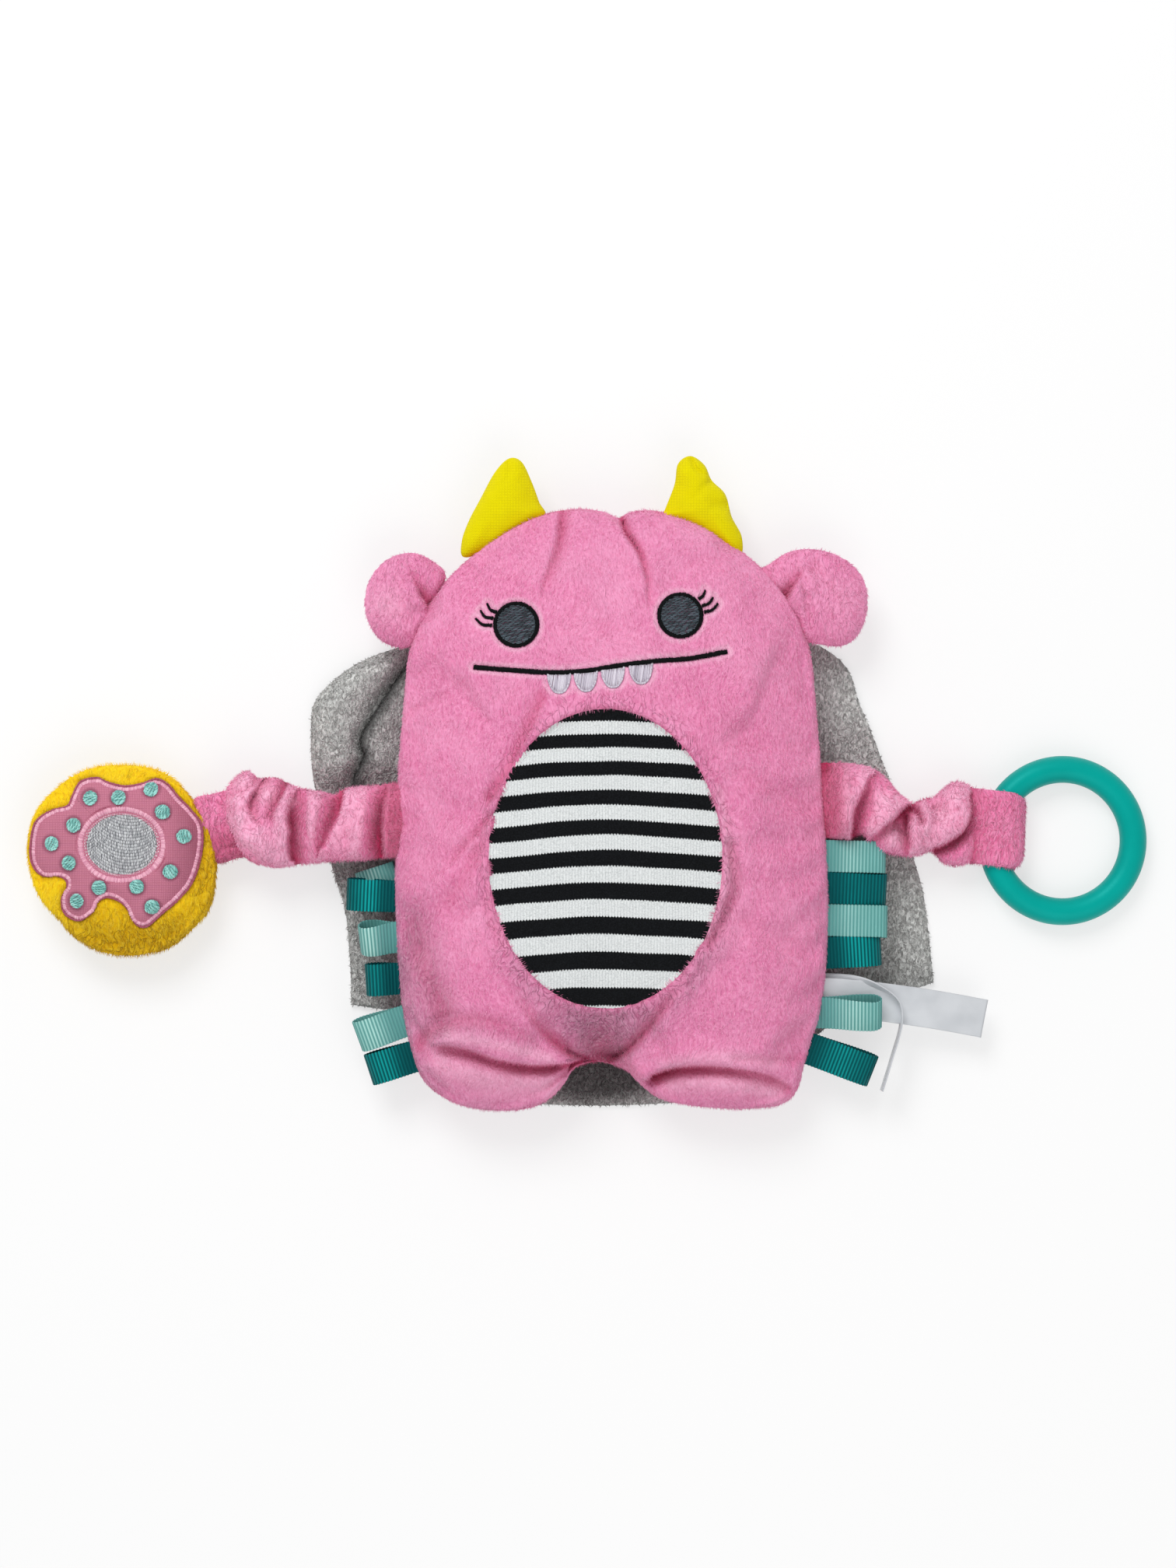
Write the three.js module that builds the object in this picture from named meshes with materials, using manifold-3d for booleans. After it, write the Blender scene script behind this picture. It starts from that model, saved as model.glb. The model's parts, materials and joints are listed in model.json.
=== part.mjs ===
// Plush monster that can be warmed: a flat stuffed body with a pack of grain behind its filling, gathered
// arms that carry a cloth doughnut and a grab ring, ribbon loops down both sides and a fleece cape behind.
// It lies on its back: +Z is its front, +Y points to its crown, and the origin is on the surface that it
// lies on, under the middle of the body. Left and right are those of someone who looks at its face.
// Sizes are in millimetres.
import * as THREE from "three";
import { mergeVertices } from "three/addons/utils/BufferGeometryUtils.js";
import Module from "manifold-3d";

// Gap between pieces that are sewn or laid together
const clearance = 0.4;

// Body outline: a rounded head that runs into straight sides and a square hem
const crownY = 121;
const shoulderY = 50;
const hipY = -28;
const hemY = -99;
const headHalfWidth = 82;
const hipHalfWidth = 86.5;
const headRoundness = 2.05;
const hemRoundness = 4;

// Body depth: the plush skin, the swell of the front and what the back holds
const plushThickness = 2.6;
const frontHeight = 27;
const frontFlatness = 2.6;
const frontEdge = 0.55;
const backFlatness = 6;
const backEdge = 0.5;
const fillOverlap = 1;

// Back opening: the upper panel laps over the lower one and a pair of hook and loop strips holds it shut
const slitY = -30;
const lapLength = 24;
const lapHalfWidth = 58;
const lapStep = 3;
const stripThickness = 0.8;
const stripWidth = 16;
const stripHalfLength = 50;
const stripInset = 4;

// Heat pack: a cotton pouch of grain with a sewn filling mouth
const packHalfWidth = 50;
const packHalfLength = 58;
const packY = -12;
const packThickness = 7.4;
const packWall = 1.1;
const packCorner = 4;
const packMouth = 30;

// Belly: a striped jersey oval behind an opening in the front
const bellyX = -2;
const bellyY = -19;
const bellyHalfWidth = 45.5;
const bellyHalfHeight = 58.5;
const bellyRecess = 0.5;
const jerseyThickness = 1.5;

// Face: satin stitch that stands on the plush, set a little to the left and tilted
const threadHeight = 1.2;
const faceX = -4.7;
const faceY = 75.6;
const faceTilt = 3.2;
const eyeSpacing = 65;
const eyeRadius = 9.3;
const eyeOutline = 1.4;
const lashLength = 7;
const lashWidth = 1.1;
const lashCount = 3;
const lashFirstAngle = 18;
const lashStep = 19;
const mouthHalfWidth = 50;
const mouthDrop = 15.5;
const mouthSag = 2.2;
const mouthWidth = 1.5;
const toothWidth = 8.6;
const toothHeight = 7.4;
const toothPitch = 10.9;
const toothCount = 4;
const toothShift = 2;

// Feet: two lobes sewn on under the hem
const footX = 43;
const footHalfWidth = 33.5;
const footHalfLength = 15;
const footReach = 22.5;
const footHeight = 15;
const footRoundness = 2.5;

// Ears and horns, sewn into the rim of the head
const earAngle = 27;
const earBase = 29;
const earHalfWidth = 19.5;
const earLength = 32.5;
const earHalfThickness = 7;
const earPleatDepth = 0.55;
const earPleatWidth = 3;
const hornAngle = 58;
const hornBase = 37;
const hornLength = 27.5;
const hornLean = 15.5;
const hornHalfThickness = 6.5;

// Arms: gathered sleeves over a strip of elastic
const doughnutArmHalfWidth = 14.5;
const ringArmHalfWidth = 14.2;
const armSeamHalfHeight = 3;
const doughnutArmHalfHeight = 12;
const ringArmHalfHeight = 10;
const doughnutArmY = -3;
const ringArmY = 6;
const gatherDepth = 0.09;
const elasticWidth = 6;
const elasticThickness = 1.4;
const elasticRoom = 0.7;

// Doughnut: a round cushion with a sewn-on icing
const doughnutX = -196.3;
const doughnutY = -20;
const doughnutRadius = 38.2;
const doughnutHalfHeight = 15;
const doughnutSkin = 2.2;
const doughnutFlatness = 2.6;
const icingThickness = 1;
const icingRadius = 30.5;
const icingWave = 4.2;
const icingLobes = 5;
const icingEdge = 1.6;
const icingHoleRadius = 14.4;
const wristLength = 11;
const wristHalfWidth = 13;
const wristHalfHeight = 4.5;
const wristY = -8;

// Grab ring and the plush band that holds it
const ringX = 183.5;
const ringY = -12.3;
const ringRadius = 28.8;
const ringTubeRadius = 5.45;
const bandWidth = 29;
const bandThickness = 2.2;
const bandSlack = 5.2;
const bandNeck = 4.5;

// Ribbon loops: alternately pale and deep, listed from the arm down
const ribbonWidth = 11.6;
const ribbonThickness = 0.8;
const ribbonBaseRadius = 1;
const ribbonFoldRadius = 2.5;
const rightRibbons = [
  { y: -22.1, length: 23, droop: 8, yaw: -5 },
  { y: -34, length: 24.5, droop: 10, yaw: -5 },
  { y: -46, length: 25.5, droop: 8, yaw: -5 },
  { y: -58, length: 22, droop: 12, yaw: -5 },
  { y: -81.5, length: 24.5, droop: -4, yaw: 0 },
  { y: -95, length: 26, droop: 12, yaw: -22 },
];
const leftRibbons = [
  { y: -25.6, length: 15.5, droop: 8, yaw: 0 },
  { y: -37.6, length: 20, droop: 10, yaw: 0 },
  { y: -50, length: 14.5, droop: 8, yaw: 2 },
  { y: -63.6, length: 13.5, droop: 12, yaw: 2 },
  { y: -81, length: 20, droop: 8, yaw: 14 },
  { y: -95, length: 19, droop: 12, yaw: 14 },
];

// Blank satin tag: one leaf lies flat, the other stands on its edge
const tagY = -73.5;
const tagThickness = 0.7;
const tagLength = 63;
const tagWidth = 15;
const tagDrop = 7;
const tagTilt = -8;
const tagLeafX = 31;
const tagLeafLength = 42;
const tagLeafLean = -100;

// Cape: fleece sewn on at the neck, spread under the body
const capeThickness = 2.4;
const capeNeckY = 72;
const capeNeckHalfWidth = 74;
const capeRightEdge = [[101, 44], [119, -5], [130, -71]];
const capeLeftEdge = [[-119, 42], [-115, -12], [-106, -78]];
const capeHem = [[-72, -110], [0, -120.5], [62, -112]];
const capeFoldHeight = 8;
const capeFoldWidth = 8;
const capeFold = { x: -106, y: 38, reach: 22 };
const capeWave = { x: 108, y: 20, height: 2.5, width: 10, reach: 40 };

// Materials
const plush = (colour) => new THREE.MeshStandardMaterial({ color: colour, roughness: 0.95, metalness: 0 });
const pinkPlush = plush(0xe98fb9);
const yellowPlush = plush(0xd9a916);
const greyFleece = plush(0x9b9a97);
const whiteBatting = plush(0xf2f2f0);
const stripedJersey = plush(0xcfd1d2);
const cottonPouch = plush(0xe6dfcf);
const grainFill = plush(0xc9a66b);
const hornFelt = plush(0xe6da08);
const icingSatin = plush(0xc98897);
const stitch = (colour) => new THREE.MeshStandardMaterial({ color: colour, roughness: 0.6, metalness: 0 });
const blackThread = stitch(0x14161a);
const greyThread = stitch(0x3a4148);
const whiteThread = stitch(0xd8d2dc);
const silverThread = stitch(0xa6a8ac);
const pinkThread = stitch(0xe6a0bd);
const paleRibbon = stitch(0x74b4ae);
const deepRibbon = stitch(0x07656a);
const whiteSatin = stitch(0xe9e9ea);
const whiteElastic = stitch(0xf0f0f0);
const blackTape = stitch(0x202020);
const ringPlastic = new THREE.MeshStandardMaterial({ color: 0x029a8f, roughness: 0.35, metalness: 0 });

// Heights of the stack in the back, from the surface that the toy lies on
const backZ = capeThickness + clearance;
const lapLow = plushThickness + 2 * stripThickness + 3 * clearance;
const lapHigh = lapLow + plushThickness;
const packLowZ = backZ + lapHigh + clearance;
const packHighZ = packLowZ + packThickness;
const fillLowZ = packHighZ + clearance;
const seamZ = fillLowZ + fillOverlap;
const backDepth = seamZ - backZ;
const bodyCentre = new THREE.Vector2(0, (crownY + hemY) / 2);
const tall = 400;

const wasm = await Module();
wasm.setup();

// Closed geometry to solid and back
function solidOf(geometry) {
  const bare = geometry.index ? geometry.toNonIndexed() : geometry.clone();
  bare.deleteAttribute("normal");
  bare.deleteAttribute("uv");
  const merged = mergeVertices(bare, 1e-4);
  return new wasm.Manifold(
    new wasm.Mesh({
      numProp: 3,
      vertProperties: new Float32Array(merged.attributes.position.array),
      triVerts: new Uint32Array(merged.index.array),
    }),
  );
}

function geometryOf(solid) {
  const mesh = solid.getMesh();
  const geometry = new THREE.BufferGeometry();
  geometry.setAttribute("position", new THREE.BufferAttribute(mesh.vertProperties, 3));
  geometry.setIndex(new THREE.BufferAttribute(mesh.triVerts, 1));
  geometry.computeVertexNormals();
  return geometry;
}

function pieceOf(name, shape, material) {
  const geometry = shape.isBufferGeometry ? shape : geometryOf(shape);
  const mesh = new THREE.Mesh(geometry, material.clone());
  mesh.name = name;
  return mesh;
}

// Geometry from lists of corner points, each face a triangle or a four-sided patch
function geometryFromFaces(points, faces) {
  const corners = [];
  const add = (index) => corners.push(points[index].x, points[index].y, points[index].z);
  for (const face of faces) {
    for (let i = 1; i + 1 < face.length; i += 1) {
      add(face[0]);
      add(face[i]);
      add(face[i + 1]);
    }
  }
  const geometry = new THREE.BufferGeometry();
  geometry.setAttribute("position", new THREE.Float32BufferAttribute(corners, 3));
  return geometry;
}

// One skin of a stuffed shape: rings that shrink from an outline to its centre, each point lifted by its
// own height
const ringScales = [1, 0.975, 0.93, 0.86, 0.74, 0.56, 0.34];
const fewRings = [1, 0.94, 0.82, 0.62, 0.32];
const flatRings = [1, 0.5];

function skin(outline, centre, heightAt, scales = ringScales) {
  const ring = (scale) =>
    outline.map((p) => {
      const x = centre.x + (p.x - centre.x) * scale;
      const y = centre.y + (p.y - centre.y) * scale;
      return new THREE.Vector3(x, y, heightAt(scale, x, y));
    });
  const pole = new THREE.Vector3(centre.x, centre.y, heightAt(0, centre.x, centre.y));
  return { rings: scales.map(ring), pole };
}

// Closed solid between two skins with as many points a ring. A shared rim makes a sharp seam, else a wall
// joins the rims.
function solidBetween(upper, lower, sharedRim = false) {
  const count = upper.rings[0].length;
  const points = [];
  const faces = [];
  const place = (rings) => rings.map((ring) => ring.map((p) => points.push(p) - 1));
  const upperRings = place(upper.rings);
  const lowerRings = place(sharedRim ? lower.rings.slice(1) : lower.rings);
  if (sharedRim) lowerRings.unshift(upperRings[0]);
  const cover = (rings, pole, face) => {
    for (let r = 0; r + 1 < rings.length; r += 1) {
      for (let j = 0; j < count; j += 1) {
        const k = (j + 1) % count;
        face([rings[r][j], rings[r][k], rings[r + 1][k], rings[r + 1][j]]);
      }
    }
    const last = rings[rings.length - 1];
    const poleIndex = points.push(pole) - 1;
    for (let j = 0; j < count; j += 1) face([last[j], last[(j + 1) % count], poleIndex]);
  };
  cover(upperRings, upper.pole, (face) => faces.push(face));
  cover(lowerRings, lower.pole, (face) => faces.push(face.reverse()));
  if (!sharedRim) {
    for (let j = 0; j < count; j += 1) {
      const k = (j + 1) % count;
      faces.push([upperRings[0][j], lowerRings[0][j], lowerRings[0][k], upperRings[0][k]]);
    }
  }
  return solidOf(geometryFromFaces(points, faces));
}

// Closed solid through cross-sections that all have as many points
function loft(sections) {
  const count = sections[0].length;
  const points = sections.flat();
  const faces = [];
  for (let s = 0; s + 1 < sections.length; s += 1) {
    for (let j = 0; j < count; j += 1) {
      const k = (j + 1) % count;
      faces.push([s * count + j, s * count + k, (s + 1) * count + k, (s + 1) * count + j]);
    }
  }
  const last = (sections.length - 1) * count;
  faces.push(Array.from({ length: count }, (_, j) => count - 1 - j));
  faces.push(Array.from({ length: count }, (_, j) => last + j));
  const solid = solidOf(geometryFromFaces(points, faces));
  return solid.volume() < 0 ? solidOf(geometryFromFaces(points, faces.map((f) => f.reverse()))) : solid;
}

// Outline helpers
function offsetOutline(outline, distance) {
  const count = outline.length;
  return outline.map((p, i) => {
    const before = outline[(i + count - 1) % count];
    const after = outline[(i + 1) % count];
    const along = after.clone().sub(before).normalize();
    return new THREE.Vector2(p.x + along.y * distance, p.y - along.x * distance);
  });
}

const mirrored = (outline) => outline.map((p) => new THREE.Vector2(-p.x, p.y)).reverse();

function ellipseOutline(x, y, halfWidth, halfHeight, count) {
  return Array.from({ length: count }, (_, i) => {
    const angle = (2 * Math.PI * i) / count;
    return new THREE.Vector2(x + halfWidth * Math.cos(angle), y + halfHeight * Math.sin(angle));
  });
}

function splinePoints(points, count) {
  const path = points.map((p) => new THREE.Vector3(p.x, p.y, 0));
  const curve = new THREE.CatmullRomCurve3(path, false, "centripetal");
  return curve.getPoints(count).map((p) => new THREE.Vector2(p.x, p.y));
}

function prism(outline, lowZ = -tall / 2, highZ = tall / 2) {
  const options = { depth: highZ - lowZ, bevelEnabled: false };
  const geometry = new THREE.ExtrudeGeometry(new THREE.Shape(outline), options);
  return solidOf(geometry.translate(0, 0, lowZ));
}

function block(lowX, highX, lowY, highY, lowZ = -tall / 2, highZ = tall / 2) {
  const geometry = new THREE.BoxGeometry(highX - lowX, highY - lowY, highZ - lowZ);
  return solidOf(geometry.translate((lowX + highX) / 2, (lowY + highY) / 2, (lowZ + highZ) / 2));
}

// Body outline, counter-clockwise from the middle of the right side
const superPower = (value, power) => Math.sign(value) * Math.abs(value) ** power;

function headRim(angle) {
  const x = headHalfWidth * superPower(Math.cos(angle), 2 / headRoundness);
  const y = shoulderY + (crownY - shoulderY) * superPower(Math.sin(angle), 2 / headRoundness);
  return new THREE.Vector2(x, y);
}

function sideHalfWidth(y) {
  if (y > shoulderY) {
    const rise = Math.min(1, (y - shoulderY) / (crownY - shoulderY));
    return headHalfWidth * (1 - rise ** headRoundness) ** (1 / headRoundness);
  }
  if (y > hipY) {
    const share = (shoulderY - y) / (shoulderY - hipY);
    return THREE.MathUtils.lerp(headHalfWidth, hipHalfWidth, share * share * (3 - 2 * share));
  }
  const fall = Math.min(1, (hipY - y) / (hipY - hemY));
  return hipHalfWidth * (1 - fall ** hemRoundness) ** (1 / hemRoundness);
}

function bodyOutline() {
  const headSteps = 11;
  const sideSteps = 4;
  const hemSteps = 7;
  const half = [];
  for (let i = 0; i < hemSteps; i += 1) {
    const angle = (Math.PI / 2) * (1 - i / hemSteps);
    const x = hipHalfWidth * superPower(Math.cos(angle), 2 / hemRoundness);
    half.push(new THREE.Vector2(x, hipY - (hipY - hemY) * superPower(Math.sin(angle), 2 / hemRoundness)));
  }
  for (let i = 0; i < sideSteps; i += 1) {
    const y = THREE.MathUtils.lerp(hipY, shoulderY, i / sideSteps);
    half.push(new THREE.Vector2(sideHalfWidth(y), y));
  }
  for (let i = 0; i <= headSteps; i += 1) half.push(headRim((Math.PI / 2) * (i / headSteps)));
  const onAxis = 1e-3;
  const right = half.map((p) => new THREE.Vector2(Math.abs(p.x) < onAxis ? 0 : p.x, p.y));
  return [...right, ...mirrored(right.slice(1, -1))];
}

const bodyRim = bodyOutline();
const frontSwell = (scale) => (1 - scale ** frontFlatness) ** frontEdge;
const backSwell = (scale) => (1 - scale ** backFlatness) ** backEdge;
const frontSkin = (inset, lift) =>
  skin(offsetOutline(bodyRim, -inset), bodyCentre,
    (s) => seamZ + (frontHeight - inset) * frontSwell(s) + lift);
const backSkin = (inset, seam) =>
  skin(offsetOutline(bodyRim, -inset), bodyCentre, (s) => seam - (backDepth - inset) * backSwell(s));
const frontLayer = (low, high) => solidBetween(frontSkin(0, high), frontSkin(0, low));
const backLayer = (low, high) => {
  const level = (lift) => skin(bodyRim, bodyCentre, (s) => seamZ - backDepth * backSwell(s) + lift);
  return solidBetween(level(high), level(low));
};
const grownBody = solidBetween(frontSkin(-clearance, 0), backSkin(-clearance, seamZ), true);

// Front of the body: the plush panel, its jersey oval and the filling
const bellyHole = prism(ellipseOutline(bellyX, bellyY, bellyHalfWidth, bellyHalfHeight, 40));
const bellyCut = prism(
  ellipseOutline(bellyX, bellyY, bellyHalfWidth - clearance, bellyHalfHeight - clearance, 40),
);

function frontPanel() {
  return solidBetween(frontSkin(0, 0), frontSkin(plushThickness, 0)).subtract(bellyHole);
}

const bellyPatch = () => frontLayer(-bellyRecess - jerseyThickness, -bellyRecess).intersect(bellyCut);

function bodyBatting() {
  const inset = plushThickness + clearance;
  const flat = skin(offsetOutline(bodyRim, -inset), bodyCentre, () => fillLowZ, flatRings);
  return solidBetween(frontSkin(inset, 0), flat);
}

// Back of the body: two panels that lap at the slit, held by hook and loop strips
const backShell = solidBetween(backSkin(plushThickness, seamZ - clearance), backSkin(0, seamZ - clearance));
const wide = 2 * hipHalfWidth;

function upperBackPanel() {
  return backShell.intersect(block(-wide, wide, slitY, tall));
}

function lowerBackPanel() {
  const edgeY = slitY - clearance;
  const step = block(-lapHalfWidth, lapHalfWidth, edgeY - lapStep, edgeY);
  const lap = block(-lapHalfWidth, lapHalfWidth, edgeY - lapStep, slitY + lapLength);
  return backShell
    .intersect(block(-wide, wide, -tall, edgeY))
    .add(backLayer(plushThickness / 2, lapHigh).intersect(step))
    .add(backLayer(lapLow, lapHigh).intersect(lap));
}

function closureStrip(lowLift) {
  const lowY = slitY + stripInset;
  const area = block(-stripHalfLength, stripHalfLength, lowY, lowY + stripWidth);
  return backLayer(lowLift, lowLift + stripThickness).intersect(area);
}

// Heat pack: rounded pouch walls with a filling mouth at the top, and the grain that they hold
function packOutline(inset) {
  const power = 2 / packCorner;
  return ellipseOutline(0, 0, 1, 1, 32).map((p) => {
    const x = (packHalfWidth - inset) * superPower(p.x, power);
    return new THREE.Vector2(x, packY + (packHalfLength - inset) * superPower(p.y, power));
  });
}

function packSolid(inset) {
  const centre = new THREE.Vector2(0, packY);
  const middle = (packLowZ + packHighZ) / 2;
  const half = packThickness / 2 - inset;
  const swell = (s) => half * (1 - s ** 4) ** 0.5;
  const scales = [1, 0.95, 0.82];
  const outline = packOutline(inset);
  return solidBetween(skin(outline, centre, (s) => middle + swell(s), scales),
    skin(outline, centre, (s) => middle - swell(s), scales), true);
}

function packPouch() {
  const mouthHeight = packWall;
  const middle = (packLowZ + packHighZ) / 2;
  const top = packY + packHalfLength;
  const mouth = block(-packMouth / 2, packMouth / 2, top - 4 * packWall, top + packWall,
    middle - mouthHeight / 2, middle + mouthHeight / 2);
  return packSolid(0).subtract(packSolid(packWall)).subtract(mouth);
}

// Face embroidery: flat outlines laid on the swell of the front
const faceTurn = THREE.MathUtils.degToRad(faceTilt);
const onFace = (x, y) => new THREE.Vector2(x, y).rotateAround(new THREE.Vector2(), faceTurn)
  .add(new THREE.Vector2(faceX, faceY));
const stitchLayer = frontLayer(clearance, clearance + threadHeight);
const embroidered = (solid) => solid.intersect(stitchLayer);
const roundAt = (centre, radius) => prism(ellipseOutline(centre.x, centre.y, radius, radius, 24));

function stripAlong(curvePoints, width) {
  const side = (sign) => curvePoints.map((p, i) => {
    const before = curvePoints[Math.max(0, i - 1)];
    const after = curvePoints[Math.min(curvePoints.length - 1, i + 1)];
    const along = after.clone().sub(before).normalize();
    return new THREE.Vector2(p.x - sign * along.y * width / 2, p.y + sign * along.x * width / 2);
  });
  return prism([...side(-1), ...side(1).reverse()]);
}

function eyeDisc(side) {
  return embroidered(roundAt(onFace(side * eyeSpacing / 2, 0), eyeRadius - eyeOutline - clearance));
}

// Outline ring of an eye with its lashes, which curl up and out from the ring
function eyeRing(side) {
  const centre = onFace(side * eyeSpacing / 2, 0);
  let ring = roundAt(centre, eyeRadius).subtract(roundAt(centre, eyeRadius - eyeOutline));
  for (let i = 0; i < lashCount; i += 1) {
    const angle = THREE.MathUtils.degToRad(lashFirstAngle + lashStep * i);
    const at = (reach, lift) => onFace(
      side * (eyeSpacing / 2 + (eyeRadius - eyeOutline / 2 + reach) * Math.cos(angle)),
      (eyeRadius - eyeOutline / 2 + reach) * Math.sin(angle) + lift,
    );
    const lash = splinePoints([at(0, 0), at(lashLength / 2, 0), at(lashLength, lashLength / 4)], 4);
    ring = ring.add(stripAlong(lash, lashWidth));
  }
  return embroidered(ring);
}

const mouthY = (x) => -mouthDrop - mouthSag * (1 - (x / mouthHalfWidth) ** 2);

function mouthLine() {
  const steps = 24;
  const line = Array.from({ length: steps + 1 }, (_, i) => {
    const x = mouthHalfWidth * ((2 * i) / steps - 1);
    return onFace(x, mouthY(x));
  });
  return embroidered(stripAlong(line, mouthWidth));
}

function tooth(index) {
  const x = toothShift + toothPitch * (index - (toothCount - 1) / 2);
  const top = mouthY(x) - mouthWidth / 2 - clearance;
  const arcSteps = 12;
  const outline = [onFace(x + toothWidth / 2, top)];
  outline.push(onFace(x - toothWidth / 2, top));
  for (let i = 0; i <= arcSteps; i += 1) {
    const angle = Math.PI + (Math.PI * i) / arcSteps;
    const drop = (toothHeight / 2) * (1 - Math.sin(angle));
    outline.push(onFace(x + (toothWidth / 2) * Math.cos(angle), top - drop));
  }
  return embroidered(prism(outline));
}

// Feet: swelling lobes under the hem, cut back from the body
const footY = hemY - footReach + footHalfLength;

function footOutline(side) {
  return ellipseOutline(0, 0, 1, 1, 26).map((p) => new THREE.Vector2(
    side * footX + footHalfWidth * superPower(p.x, 2 / footRoundness),
    footY + footHalfLength * superPower(p.y, 2 / footRoundness),
  ));
}

function foot(side) {
  const outline = footOutline(side);
  const centre = new THREE.Vector2(side * footX, footY);
  const swell = (s) => (1 - s ** 2.4) ** 0.5;
  const upper = skin(outline, centre, (s) => seamZ + footHeight * swell(s), fewRings);
  const lower = skin(outline, centre, (s) => seamZ - backDepth * swell(s), fewRings);
  return solidBetween(upper, lower, true).subtract(grownBody);
}

// A stretch of the head's rim as wide as a seam, pushed out by the clearance, with the frame of its middle
function rimSeam(angleDegrees, width) {
  const samples = 240;
  const points = Array.from({ length: samples + 1 }, (_, i) => headRim((Math.PI / 2) * (i / samples)));
  const lengths = [0];
  for (let i = 1; i <= samples; i += 1) lengths.push(lengths[i - 1] + points[i].distanceTo(points[i - 1]));
  const middle = lengths[Math.round((angleDegrees / 90) * samples)];
  const at = (length) => {
    const i = Math.max(1, lengths.findIndex((l) => l >= length));
    const share = (length - lengths[i - 1]) / (lengths[i] - lengths[i - 1]);
    return points[i - 1].clone().lerp(points[i], share);
  };
  const along = at(middle + 1).sub(at(middle - 1)).normalize();
  const outward = new THREE.Vector2(along.y, -along.x);
  const seamSteps = 6;
  const seam = Array.from({ length: seamSteps + 1 }, (_, i) =>
    at(middle + width * (i / seamSteps - 0.5)).addScaledVector(outward, clearance));
  const pivot = at(middle).addScaledVector(outward, clearance);
  const local = (u, v) => pivot.clone().addScaledVector(along, u).addScaledVector(outward, v);
  return { seam, along, outward, pivot, local };
}

// Outline of a stuffed flap: out along its free edge, back along the seam in the head's rim
function flapOutline(rim, freeEdge, steps) {
  const first = rim.seam[0];
  const last = rim.seam[rim.seam.length - 1];
  const edge = splinePoints([first, ...freeEdge.map(([u, v]) => rim.local(u, v)), last], steps);
  return [...edge, ...rim.seam.slice(1, -1).reverse()];
}

function flap(outline, centre, halfThickness, crease) {
  const swell = (s, x, y) => halfThickness * (1 - s * s) ** 0.85 * crease(x, y);
  const upper = skin(outline, centre, (s, x, y) => seamZ + swell(s, x, y), fewRings);
  const lower = skin(outline, centre, (s, x, y) => seamZ - swell(s, x, y), fewRings);
  return solidBetween(upper, lower, true);
}

const earRim = rimSeam(earAngle, earBase);
const hornRim = rimSeam(hornAngle, hornBase);

function ear(side) {
  const w = earHalfWidth;
  const free = [[-w, earLength * 0.33], [-w * 0.8, earLength * 0.74], [0, earLength],
    [w * 0.8, earLength * 0.74], [w, earLength * 0.33]];
  const right = flapOutline(earRim, free, 22);
  const centre = earRim.local(0, earLength * 0.48);
  const pleat = (x, y) => {
    const offset = new THREE.Vector2(Math.abs(x), y).sub(earRim.pivot);
    const across = offset.dot(earRim.along) / earPleatWidth;
    const fade = THREE.MathUtils.clamp(1 - offset.dot(earRim.outward) / (earLength * 0.7), 0, 1);
    return 1 - earPleatDepth * fade * Math.exp(-across * across);
  };
  const outline = side > 0 ? right : mirrored(right);
  return flap(outline, new THREE.Vector2(side * centre.x, centre.y), earHalfThickness, pleat);
}

// A horn leans towards the crown, so its tip stands above the inner end of its seam
function horn(side) {
  const h = hornLength;
  const free = [[-hornBase * 0.43, h * 0.3], [hornLean - 15, h * 0.78], [hornLean - 3, h],
    [hornLean + 3, h * 0.93], [hornBase / 2 + 0.5, h * 0.5]];
  const right = flapOutline(hornRim, free, 20);
  const centre = hornRim.local(hornLean * 0.35, h * 0.4);
  const outline = side > 0 ? right : mirrored(right);
  return flap(outline, new THREE.Vector2(side * centre.x, centre.y), hornHalfThickness, () => 1);
}

// Doughnut: two plush halves round a stuffing, with a wavy icing on the front
const doughnutZ = doughnutHalfHeight;
const doughnutCentre = new THREE.Vector2(doughnutX, doughnutY);
const doughnutSwell = (s) => (1 - s ** doughnutFlatness) ** 0.5;
const doughnutRim = (inset) =>
  ellipseOutline(doughnutX, doughnutY, doughnutRadius - inset, doughnutRadius - inset, 32);
const doughnutSkinAt = (inset, sign, lift = 0) =>
  skin(doughnutRim(inset), doughnutCentre,
    (s) => doughnutZ + sign * (doughnutHalfHeight - inset) * doughnutSwell(s) + lift, fewRings);

const doughnutFront = () => solidBetween(doughnutSkinAt(0, 1), doughnutSkinAt(doughnutSkin, 1));

function doughnutBack() {
  const seam = -clearance;
  return solidBetween(doughnutSkinAt(doughnutSkin, -1, seam), doughnutSkinAt(0, -1, seam))
    .intersect(block(-tall, 0, -tall, tall, 0, tall));
}

function doughnutStuffing() {
  const inset = doughnutSkin + 2 * clearance;
  return solidBetween(doughnutSkinAt(inset, 1), doughnutSkinAt(inset, -1), true);
}

const icingLayer = (low, high) => solidBetween(doughnutSkinAt(0, 1, high), doughnutSkinAt(0, 1, low));

function icingOutline(inset) {
  return ellipseOutline(0, 0, 1, 1, 45).map((p) => {
    const angle = Math.atan2(p.y, p.x);
    const radius = icingRadius - inset + icingWave * Math.cos(icingLobes * angle) * (p.x < 0 ? 1 : 0.35);
    return p.clone().multiplyScalar(radius).add(doughnutCentre);
  });
}

const icingHole = (radius) => prism(ellipseOutline(doughnutX, doughnutY, radius, radius, 32));

function icing() {
  const inner = prism(icingOutline(icingEdge + clearance)).subtract(icingHole(icingHoleRadius + icingEdge));
  return inner.intersect(icingLayer(clearance, clearance + icingThickness));
}

function icingBorder() {
  const border = prism(icingOutline(0)).subtract(prism(icingOutline(icingEdge)));
  return border.intersect(icingLayer(clearance, clearance + 1.5 * icingThickness));
}

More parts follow.
